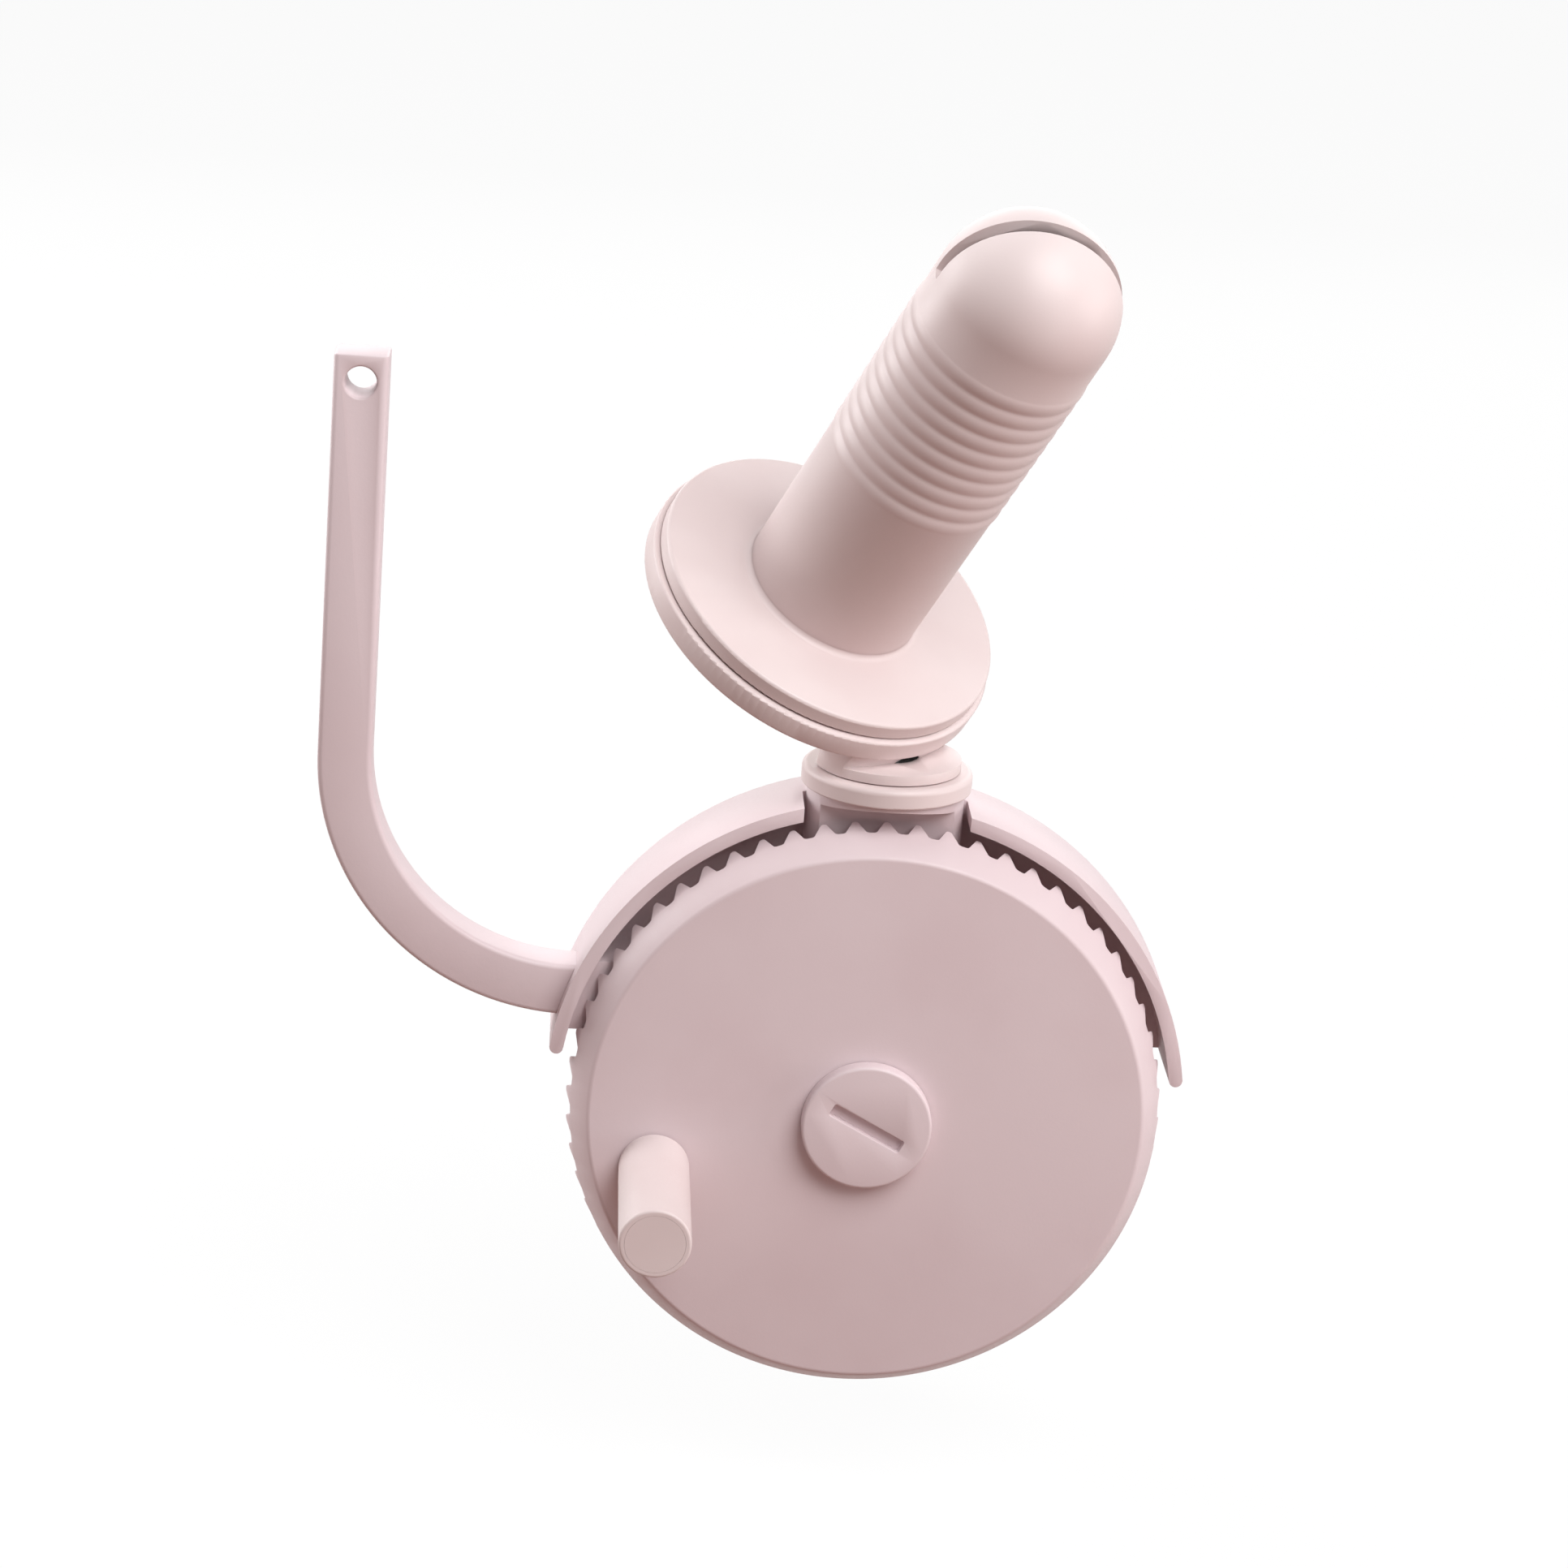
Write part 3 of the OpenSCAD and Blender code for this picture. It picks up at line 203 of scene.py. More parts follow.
class WinderWheelSizes(bpy.types.PropertyGroup):
    """Sizes of the crank wheel and its bolt."""

    face_r: length(0.0564, "Face radius", "Radius of the wheel's flat front face")
    rim_r: length((WHEEL_HIGH.x - WHEEL_LOW.x) / 2, "Rim radius", "Radius of the wheel over its tooth tips")
    disc: length(0.003, "Disc", "Thickness of the wheel's disc")
    cone: length(0.0058, "Cone", "Depth of the cone behind the front face")
    flare: length(0.0007, "Flare", "Flare of the teeth beyond the cone's end")
    tooth_tip: length(0.0103, "Tooth tip", "Depth of the tooth tips behind the front face")
    tooth_height: length(0.0043, "Tooth height", "Height of a crown tooth")
    tooth_face: length(0.0074, "Tooth face", "Radial length of the crown teeth")
    gap_floor: length(0.0018, "Gap floor", "Width of a tooth gap at its floor")
    gap_mouth: length(0.0052, "Gap mouth", "Width of a tooth gap at the tooth tips")
    teeth: IntProperty(name="Teeth", description="Number of crown teeth", default=60, min=12)
    tooth_steps: IntProperty(
        name="Tooth steps", description="Facets round the wheel for each tooth", default=12, min=6
    )
    bore: length(0.0079, "Bore", "Radius of the hole for the bush")
    hub_r: length(0.014, "Hub radius", "Radius of the hub behind the disc")
    hub_end: length(0.012, "Hub end", "Depth of the hub's end behind the front face")
    ribs: IntProperty(name="Ribs", description="Number of stiffening ribs behind the disc", default=6, min=0)
    rib_width: length(0.0018, "Rib width", "Thickness of a stiffening rib")
    rib_height: length(0.0035, "Rib height", "Height of a stiffening rib behind the disc")
    boss_r: length(0.0055, "Handle boss", "Radius of the boss that holds the handle's pin")
    handle_orbit: length(0.044, "Handle orbit", "Distance of the handle from the wheel's axis")
    handle_turn: angle(196, "Handle turn", "Place of the handle round the wheel, from the right")
    edge: length(0.0012, "Face edge", "Rounding of the front face's edge")
    bolt_r: length(0.0132, "Bolt head", "Radius of the slotted bolt head")
    bolt_front: length(0.0037, "Bolt front", "Height of the bolt head's front over the wheel's face")
    bolt_back: length(0.0003, "Bolt back", "Height of the bolt head's back over the wheel's face")
    bolt_edge: length(0.0007, "Bolt edge", "Rounding of the bolt head's edge")
    journal_r: length(0.006, "Journal", "Radius of the journal that the wheel turns on")
    journal_end: length(0.0131, "Journal end", "Depth of the journal's end behind the wheel's face")
    shank_r: length(0.0045, "Shank", "Radius of the bolt's shank")
    shank_end: length(0.034, "Shank end", "Depth of the shank's end behind the wheel's face")
    slot_length: length(0.0164, "Slot length", "Length of the screwdriver slot")
    slot_width: length(0.0028, "Slot width", "Width of the screwdriver slot")
    slot_depth: length(0.0019, "Slot depth", "Depth of the screwdriver slot")
    slot_turn: angle(27.5, "Slot turn", "Slope of the screwdriver slot, falling to the right")


class WinderArmSizes(bpy.types.PropertyGroup):
    """Sizes of the guide arm."""

    width: length(0.0108, "Width", "Width of the arm as seen from the front")
    depth: length(0.010, "Depth", "Depth of the arm from front to back")
    bend_r: length(0.0475, "Bend", "Radius of the bend along the arm's middle")
    edge: length(0.0011, "Edge", "Rounding of the arm's long edges")
    tip_edge: length(0.0005, "Tip edge", "Rounding of the arm's tip")
    eye_r: length(0.00315, "Eye", "Radius of the yarn eye")
    eye_drop: length(0.0054, "Eye drop", "Distance of the yarn eye below the arm's tip")
    eye_edge: length(0.00045, "Eye edge", "Rounding of the yarn eye's rim")


class WinderClampSizes(bpy.types.PropertyGroup):
    """Sizes of the clamp's screw, knob and pad, and roundings of the moulded edges."""

    screw_r: length(0.005, "Screw", "Radius of the clamp screw over its thread")
    thread_depth: length(0.0008, "Thread depth", "Depth of the thread")
    thread_pitch: length(0.003, "Thread pitch", "Rise of the thread for each turn")
    nose_r: length(0.004, "Nose", "Radius of the screw's nose in the pad")
    knob_r: length(0.011, "Knob", "Radius of the knob")
    knob_edge: length(0.002, "Knob edge", "Rounding of the knob's edges")
    flutes: IntProperty(name="Flutes", description="Number of finger flutes round the knob", default=8, min=3)
    flute_depth: length(0.0013, "Flute depth", "Depth of a finger flute")
    pad_groove: length(0.0004, "Pad groove", "Depth of the grooves on the pad's face")
    soft_edge: length(0.0006, "Soft edge", "Rounding of the moulded edges of housing and clamp")
    slot_edge: length(0.0003, "Slot edge", "Rounding of the edges of the yarn slot and of the head")


class WinderSpindleSizes(bpy.types.PropertyGroup):
    """Sizes and place of the ringed spindle."""

    tilt: angle(33.7, "Tilt", "Tilt of the spindle from the upright axis of the head")
    lean: angle(47.7, "Lean", "Turn of the tilted spindle towards the front, from the right")
    crossing: length(0.111057, "Crossing", "Height of the crossing of the two axes above the table seat")
    foot: length(0.035, "Foot", "Distance from the crossing down to the spindle's foot")
    radius: length(0.01865, "Radius", "Radius of the spindle")
    wall: length(0.0024, "Wall", "Wall of the hollow spindle")
    height: length(0.1, "Height", "Height of the spindle above its foot")
    rings: IntProperty(name="Rings", description="Number of grip rings", default=10, min=0)
    ring_start: length(0.038, "First ring", "Height of the first grip ring above the foot")
    ring_pitch: length(0.00373, "Ring spacing", "Spacing of the grip rings")
    ring_height: length(0.0003, "Ring height", "Height of a grip ring over the spindle's surface")
    ring_share: share(0.9, "Ring width", "Width of a grip ring as a share of the spacing")
    slot_width: length(0.0034, "Slot width", "Width of the yarn slot across the dome")
    slot_depth: length(0.02, "Slot depth", "Depth of the yarn slot below the dome's top")
    slot_turn: angle(-38, "Slot turn", "Turn of the yarn slot about the spindle")


class WinderColours(bpy.types.PropertyGroup):
    """Colours of the moulded plastics, of the metal and of the floor."""

    pink: colour((220, 203, 206), "Pink", "Satin pink of the wheel, bolt, housing, arm and clamp")
    pink_deep: colour((215, 196, 199), "Deep pink", "Pink where the moulding is a little denser")
    pale: colour((224, 209, 208), "Pale pink", "Pale pink of the spindle, head, collar, pinion, grip and pad")
    pale_deep: colour((219, 202, 201), "Deep pale pink", "Pale pink where the moulding is a little denser")
    white: colour((232, 229, 221), "Bearing white", "Bushes and gears")
    white_deep: colour((220, 216, 206), "Deep bearing white", "Bushes and gears where they are denser")
    steel: colour((176, 177, 180), "Steel", "Screws, washers, posts and shafts")
    steel_deep: colour((138, 138, 142), "Dark steel", "Steel in the marks of turning")
    floor: colour((246, 245, 245), "Floor", "Plain pale floor")


class WinderStage(bpy.types.PropertyGroup):
    """Camera, lamps, sky and floor."""

    elevation: angle(17.78, "Elevation", "Height of the camera's view above the horizon")
    azimuth: angle(-3.39, "Azimuth", "Turn of the camera about the object, to the right")
    roll: angle(4.36, "Roll", "Roll of the camera, which turns the object clockwise")
    place: FloatVectorProperty(
        name="Place",
        description="Camera's place",
        default=(-0.07005, -0.87197, 0.31261),
        subtype="TRANSLATION",
    )
    lens: FloatProperty(name="Lens", description="Focal length in millimetres", default=99.68, min=1.0)
    key_power: power(30.0, "Key lamp", "Power of the large lamp above, at the front right")
    top_power: power(4.0, "Top lamp", "Power of the lamp above, at the back left")
    left_power: power(11.0, "Left lamp", "Power of the lamp at the left")
    right_power: power(6.5, "Right lamp", "Power of the low lamp at the right")
    back_power: power(6.5, "Back lamp", "Power of the wide lamp behind, which gives the tops their sheen")
    sky: share(0.17, "Sky", "Strength of the even light from all round")
    floor_glow: share(0.94, "Floor glow", "Share of plain white in the floor as the camera sees it")


# Modelling helpers


def activate(obj):
    """Makes obj the only selected object."""
    bpy.ops.object.select_all(action="DESELECT")
    obj.select_set(True)
    bpy.context.view_layer.objects.active = obj


def edit_mode():
    """Opens the active mesh for editing."""
    bpy.ops.object.mode_set(mode="EDIT")


def object_mode():
    """Leaves edit mode."""
    bpy.ops.object.mode_set(mode="OBJECT")


def start_line(name):
    """A new mesh in edit mode that holds one selected vertex at the origin."""
    bpy.ops.object.select_all(action="DESELECT")
    bpy.ops.mesh.primitive_plane_add(size=MM)
    obj = bpy.context.active_object
    obj.name = obj.data.name = name
    edit_mode()
    bpy.ops.mesh.select_mode(type="VERT")
    bpy.ops.mesh.select_all(action="SELECT")
    bpy.ops.mesh.merge(type="CENTER")
    return obj


def draw_line(points):
    """Moves the selected vertex to the first point and extrudes it through the others."""
    at = Vector()
    for i, point in enumerate(points):
        step = Vector(point) - at
        if i == 0:
            bpy.ops.transform.translate(value=step)
        else:
            bpy.ops.mesh.extrude_region_move(TRANSFORM_OT_translate={"value": step})
        at = Vector(point)


def rounded(points, segments=CORNER_SEGMENTS):
    """Outline of (x, y, rounding) points, each inner corner replaced by an arc."""
    line = []
    for i, (x, y, r) in enumerate(points):
        here = Vector((x, y))
        if r <= 0 or i in (0, len(points) - 1):
            line.append(here)
            continue
        before = (Vector(points[i - 1][:2]) - here).normalized()
        after = (Vector(points[i + 1][:2]) - here).normalized()
        half = before.angle(after) / 2
        centre = here + (before + after).normalized() * r / math.sin(half)
        first = here + before * (r / math.tan(half)) - centre
        last = here + after * (r / math.tan(half)) - centre
        sweep = math.atan2(first.x * last.y - first.y * last.x, first.dot(last))
        for k in range(segments + 1):
            line.append(centre + Matrix.Rotation(sweep * k / segments, 2) @ first)
    return line


def finish_mesh():
    """Welds the mesh in edit mode, turns its faces outwards and leaves edit mode."""
    bpy.ops.mesh.select_all(action="SELECT")
    bpy.ops.mesh.remove_doubles(threshold=WELD)
    bpy.ops.mesh.normals_make_consistent(inside=False)
    object_mode()


def lathe(name, outline, steps):
    """Spins an outline of (radius, height) round Z into a closed mesh."""
    obj = start_line(name)
    draw_line([(p[0], 0.0, p[1]) for p in outline])
    bpy.ops.mesh.select_all(action="SELECT")
    bpy.ops.mesh.spin(steps=steps, angle=FULL_TURN, center=(0, 0, 0), axis=(0, 0, 1))
    finish_mesh()
    return obj


def place(obj, matrix):
    """Moves obj's mesh to its place and leaves the object at the origin."""
    activate(obj)
    obj.matrix_world = matrix
    bpy.ops.object.transform_apply(location=True, rotation=True, scale=True)


def apply_modifiers(obj):
    """Applies the modifiers of obj in their order."""
    activate(obj)
    for modifier in list(obj.modifiers):
        bpy.ops.object.modifier_apply(modifier=modifier.name)


def combine(obj, other, operation):
    """Joins or cuts obj with another mesh, which is then removed."""
    activate(obj)
    modifier = obj.modifiers.new("Combine", "BOOLEAN")
    modifier.operation = operation
    modifier.solver = "EXACT"
    modifier.object = other
    bpy.ops.object.modifier_apply(modifier=modifier.name)
    activate(other)
    bpy.ops.object.delete()
    activate(obj)


def select_verts(obj, test):
    """Selects, in edit mode, the vertices whose place passes a test."""
    bpy.ops.mesh.select_mode(type="VERT")
    bpy.ops.mesh.select_all(action="DESELECT")
    object_mode()
    for vert in obj.data.vertices:
        vert.select = test(vert.co)
    edit_mode()


def select_edges(obj, test):
    """Selects, in edit mode, the edges whose two ends pass a test."""
    bpy.ops.mesh.select_mode(type="EDGE")
    bpy.ops.mesh.select_all(action="DESELECT")
    object_mode()
    verts = obj.data.vertices
    for edge in obj.data.edges:
        edge.select = all(test(verts[i].co) for i in edge.vertices)
    edit_mode()


def smooth(obj, limit):
    """Shades obj smooth, apart from edges sharper than limit degrees."""
    activate(obj)
    bpy.ops.object.shade_smooth_by_angle(angle=math.radians(limit))


def block(size):
    """A plain block of the given size round the origin."""
    bpy.ops.object.select_all(action="DESELECT")
    bpy.ops.mesh.primitive_cube_add(size=1.0)
    obj = bpy.context.active_object
    obj.dimensions = size
    bpy.ops.object.transform_apply(location=False, rotation=False, scale=True)
    return obj


def round_edges(obj, width, limit):
    """Rounds off the edges sharper than limit degrees and shades obj smooth."""
    modifier = obj.modifiers.new("Soft edges", "BEVEL")
    modifier.width = width
    modifier.segments = EDGE_SEGMENTS
    modifier.limit_method = "ANGLE"
    modifier.angle_limit = math.radians(limit)
    apply_modifiers(obj)
    smooth(obj, limit)


def soften(node, name, width, limit=CREASE):
    """A copy of a solid whose sharp edges are rounded off."""
    obj = bpy.data.objects.new(name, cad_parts[node].data.copy())
    bpy.context.scene.collection.objects.link(obj)
    obj.data.materials.clear()
    activate(obj)
    bpy.ops.mesh.customdata_custom_splitnormals_clear()
    edit_mode()
    bpy.ops.mesh.select_all(action="SELECT")
    bpy.ops.mesh.remove_doubles(threshold=WELD)
    bpy.ops.mesh.dissolve_limited(angle_limit=math.radians(FLAT))
    object_mode()
    round_edges(obj, width, limit)
    return obj


def stand_for(obj, body, material, slot, *nodes):
    """Gives a finished piece its material, its body and the solids that it stands for."""
    obj.data.materials.clear()
    obj.data.materials.append(material)
    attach(obj, body)
    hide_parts(*nodes)


def dress(material, *nodes):
    """Gives solids that stay visible their material."""
    for node in nodes:
        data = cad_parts[node].data
        data.materials.clear()
        data.materials.append(material)


# Materials


def noise(group, vector, scale, detail):
    """A noise in a node group, whose scale comes from a socket."""
    node = group.nodes.new("ShaderNodeTexNoise")
    node.inputs["Detail"].default_value = detail
    group.links.new(vector, node.inputs["Vector"])
    group.links.new(scale, node.inputs["Scale"])
    return node.outputs["Fac"]


def spread(group, value, shown):
    """Stretches the shown range of a value."""
    node = group.nodes.new("ShaderNodeMapRange")
    node.inputs["From Min"].default_value = shown[0]
    node.inputs["From Max"].default_value = shown[1]
    group.links.new(value, node.inputs["Value"])
    return node


def moulded_group():
    """Shared effect: the faint cloudiness, grain and gloss changes of a moulded plastic."""
    name = "Moulded Surface"
    if name in bpy.data.node_groups:
        return bpy.data.node_groups[name]
    group = bpy.data.node_groups.new(name, "ShaderNodeTree")
    for side, kind, sockets in (
        ("INPUT", "NodeSocketColor", ("Colour", "Deep Colour")),
        ("INPUT", "NodeSocketFloat", ("Cloud Scale", "Grain Scale", "Roughness Low", "Roughness High")),
        ("OUTPUT", "NodeSocketColor", ("Colour",)),
        ("OUTPUT", "NodeSocketFloat", ("Roughness", "Height")),
    ):
        for socket in sockets:
            group.interface.new_socket(name=socket, in_out=side, socket_type=kind)
    nodes, links = group.nodes, group.links
    given = nodes.new("NodeGroupInput")
    result = nodes.new("NodeGroupOutput")
    coordinates = nodes.new("ShaderNodeTexCoord").outputs["Object"]
    cloud = noise(group, coordinates, given.outputs["Cloud Scale"], CLOUD_DETAIL)
    grain = noise(group, coordinates, given.outputs["Grain Scale"], GRAIN_DETAIL)
    dense = spread(group, cloud, CLOUD_RANGE)
    dense.interpolation_type = "SMOOTHSTEP"
    tint = nodes.new("ShaderNodeMix")
    tint.data_type = "RGBA"
    links.new(dense.outputs["Result"], tint.inputs["Factor"])
    links.new(given.outputs["Colour"], tint.inputs["A"])
    links.new(given.outputs["Deep Colour"], tint.inputs["B"])
    gloss = spread(group, grain, GRAIN_RANGE)
    links.new(given.outputs["Roughness Low"], gloss.inputs["To Min"])
    links.new(given.outputs["Roughness High"], gloss.inputs["To Max"])
    links.new(tint.outputs["Result"], result.inputs["Colour"])
    links.new(gloss.outputs["Result"], result.inputs["Roughness"])
    links.new(grain, result.inputs["Height"])
    return group


def surface(name, base, deep, cloud, grain, rough, bump, metallic=0.0, specular=0.45):
    """A material whose colour, gloss and fine relief come from the moulded surface effect."""
    if name in bpy.data.materials:
        return bpy.data.materials[name]
    material = bpy.data.materials.new(name)
    material.use_nodes = True
    nodes, links = material.node_tree.nodes, material.node_tree.links
    shader = nodes["Principled BSDF"]
    effect = nodes.new("ShaderNodeGroup")
    effect.node_tree = moulded_group()
    effect.inputs["Colour"].default_value = (*base, 1.0)
    effect.inputs["Deep Colour"].default_value = (*deep, 1.0)
    effect.inputs["Cloud Scale"].default_value = cloud
    effect.inputs["Grain Scale"].default_value = grain
    effect.inputs["Roughness Low"].default_value = rough[0]
    effect.inputs["Roughness High"].default_value = rough[1]
    relief = nodes.new("ShaderNodeBump")
    relief.inputs["Strength"].default_value = bump
    relief.inputs["Distance"].default_value = RELIEF_DEPTH
    links.new(effect.outputs["Height"], relief.inputs["Height"])
    links.new(effect.outputs["Colour"], shader.inputs["Base Color"])
    links.new(effect.outputs["Roughness"], shader.inputs["Roughness"])
    links.new(relief.outputs["Normal"], shader.inputs["Normal"])
    shader.inputs["Metallic"].default_value = metallic
    shader.inputs["Specular IOR Level"].default_value = specular
    return material


def pink():
    """Satin plastic of the wheel, bolt, housing, arm and clamp."""
    tones = bpy.context.scene.winder_colours
    return surface(
        "Satin Pink Plastic", tones.pink, tones.pink_deep,
        cloud=24.0, grain=1900.0, rough=(0.4, 0.52), bump=0.25,
    )


def pale():
    """Paler plastic of the spindle, head, collar, pinion, grip and pad."""
    tones = bpy.context.scene.winder_colours
    return surface(
        "Pale Pink Plastic", tones.pale, tones.pale_deep,
        cloud=30.0, grain=2100.0, rough=(0.38, 0.5), bump=0.2,
    )


def bearing_white():
    """Plain plastic of the bushes and gears."""
    tones = bpy.context.scene.winder_colours
    return surface(
        "Bearing Plastic", tones.white, tones.white_deep,
        cloud=60.0, grain=2600.0, rough=(0.32, 0.44), bump=0.12,
    )


def steel():
    """Turned steel of the screws, washers, posts and shafts."""
    tones = bpy.context.scene.winder_colours
    return surface(
        "Turned Steel", tones.steel, tones.steel_deep,
        cloud=420.0, grain=5200.0, rough=(0.24, 0.38), bump=0.15, metallic=1.0, specular=0.5,
    )


# Pieces


class WINDER_OT_crank_wheel(bpy.types.Operator):
    """Spins the crank wheel and draws its crown teeth out of the rim"""

    bl_idname = "winder.crank_wheel"
    bl_label = "Crank Wheel"

    def execute(self, context):
        s = context.scene.winder_wheel
        rim_in = s.rim_r - s.tooth_face
        shoulder = s.cone - TIP_EDGE
        shoulder_r = s.face_r + (s.rim_r - s.flare - s.face_r) * shoulder / s.cone
        outline = rounded([
            (s.bore, 0.0, 0.0),
            (s.face_r, 0.0, s.edge),
            (shoulder_r, shoulder, 0.0),
            (s.rim_r, s.tooth_tip - TIP_EDGE, 0.0),
            (s.rim_r - TIP_EDGE, s.tooth_tip, 0.0),
            (rim_in + TIP_EDGE, s.tooth_tip, 0.0),
            (rim_in, s.tooth_tip - TIP_EDGE, 0.0),
            (rim_in, s.disc, WEB_FILLET),
            (s.hub_r, s.disc, WEB_FILLET),
            (s.hub_r, s.hub_end, HUB_EDGE),
            (s.bore, s.hub_end, 0.0),
            (s.bore, 0.0, 0.0),
        ])
        wheel = lathe("crank_wheel", outline, s.teeth * s.tooth_steps)
        self.draw_gaps(wheel, s, rim_in, s.rim_r - shoulder_r)
        backing = self.handle_boss(s)
        ribs = [self.rib(s, rim_in, i) for i in range(s.ribs)]
        activate(backing)
        for rib in ribs:
            rib.select_set(True)
        bpy.ops.object.join()
        combine(wheel, backing, "UNION")
        smooth(wheel, DRAWN_CREASE)
        place(wheel, ON_WHEEL)
        stand_for(wheel, "crank", pink(), "pink_plastic", "drive_wheel")
        return {"FINISHED"}

    def draw_gaps(self, wheel, s, rim_in, flare):
        """Draws the tooth tips forward into the gaps between teeth, the outer ones along the flare."""
        mid_r = (s.rim_r + rim_in) / 2
        step = FULL_TURN / (s.teeth * s.tooth_steps)
        half = s.tooth_steps // 2
        edit_mode()
        for j in range(half):
            off = mid_r * step * j
            rise = (off - s.gap_floor / 2) / ((s.gap_mouth - s.gap_floor) / 2)
            depth = s.tooth_height * (1 - min(max(rise, 0.0), 1.0))

            def in_gap(co, inner_r=rim_in, j=j):
                if co.z < s.tooth_tip - TIP_EDGE - WELD or co.xy.length < inner_r - WELD:
                    return False
                column = round(math.atan2(co.y, co.x) / step) % s.tooth_steps
                return abs(column - half) == j

            select_verts(wheel, lambda co: in_gap(co, mid_r))
            drawn = 1 - flare * depth / s.tooth_height / s.rim_r
            bpy.ops.transform.resize(value=(drawn, drawn, 1), center_override=(0, 0, 0))
            select_verts(wheel, in_gap)
            bpy.ops.transform.translate(value=(0, 0, -depth))
        finish_mesh()

    def rib(self, s, rim_in, i):
        """One stiffening rib between hub and rim, sunk a little into both."""
        reach = rim_in - s.hub_r + 2 * SUNK
        rib = block((reach, s.rib_width, s.rib_height + SUNK))
        edit_mode()
        select_edges(rib, lambda co: co.z > 0)
        bpy.ops.mesh.bevel(offset=RIB_EDGE, segments=EDGE_SEGMENTS)
        object_mode()
        middle = Vector((s.hub_r - SUNK + reach / 2, 0, s.disc + (s.rib_height - SUNK) / 2))
        place(rib, Matrix.Rotation(i * FULL_TURN / s.ribs, 4, "Z") @ Matrix.Translation(middle))
        return rib

    def handle_boss(self, s):
        """Round boss behind the disc for the handle's pin."""
        foot = s.disc - SUNK
        top = s.disc + s.rib_height
        boss = lathe("handle_boss", rounded([
            (0.0, foot, 0.0),
            (s.boss_r, foot, 0.0),
            (s.boss_r, top, BOSS_EDGE),
            (0.0, top, 0.0),
        ]), PIN_STEPS)
        place(boss, Matrix.Translation((
            s.handle_orbit * math.cos(s.handle_turn), -s.handle_orbit * math.sin(s.handle_turn), 0
        )))
        return boss


class WINDER_OT_axle_bolt(bpy.types.Operator):
    """Turns the axle bolt and cuts the screwdriver slot into its head"""

    bl_idname = "winder.axle_bolt"
    bl_label = "Axle Bolt"

    def execute(self, context):
        s = context.scene.winder_wheel
        bolt = lathe("slotted_bolt", rounded([
            (0.0, -s.bolt_front, 0.0),
            (s.bolt_r, -s.bolt_front, s.bolt_edge),
            (s.bolt_r, -s.bolt_back, HEAD_BACK_EDGE),
            (s.journal_r, -s.bolt_back, 0.0),
            (s.journal_r, s.journal_end, 0.0),
            (s.shank_r, s.journal_end, 0.0),
            (s.shank_r, s.shank_end, SHANK_EDGE),
            (0.0, s.shank_end, 0.0),
        ]), BOLT_STEPS)
        edit_mode()
        bpy.ops.mesh.select_all(action="SELECT")
        bpy.ops.mesh.dissolve_limited(angle_limit=math.radians(FLAT))
        object_mode()
        combine(bolt, self.slot_cutter(s), "DIFFERENCE")
        edit_mode()
        reach = s.slot_length / 2 + SLOT_MARGIN

        def on_slot_rim(co):
            return co.z < -s.bolt_front + WELD and co.xy.length < reach

        select_edges(bolt, on_slot_rim)
        bpy.ops.mesh.bevel(offset=SLOT_RIM, segments=EDGE_SEGMENTS)
        finish_mesh()
        smooth(bolt, CREASE)
        place(bolt, ON_WHEEL)
        stand_for(bolt, "frame", pink(), "pink_plastic", "axle_bolt")
        return {"FINISHED"}

    def slot_cutter(self, s):
        """Block with rounded ends that takes the slot out of the head."""
        cutter = block((s.slot_length, s.slot_width, 2 * s.slot_depth))
        edit_mode()
        bpy.ops.mesh.select_mode(type="EDGE")
        bpy.ops.mesh.select_all(action="DESELECT")
        object_mode()
        verts = cutter.data.vertices
        for edge in cutter.data.edges:
            a, b = (verts[i].co for i in edge.vertices)
            edge.select = (a.xy - b.xy).length < WELD
        edit_mode()
        bpy.ops.mesh.bevel(offset=SLOT_CORNER, segments=RIM_SEGMENTS)
        object_mode()
        place(cutter, Matrix.Translation((0, 0, -s.bolt_front)) @ Matrix.Rotation(s.slot_turn, 4, "Z"))
        return cutter


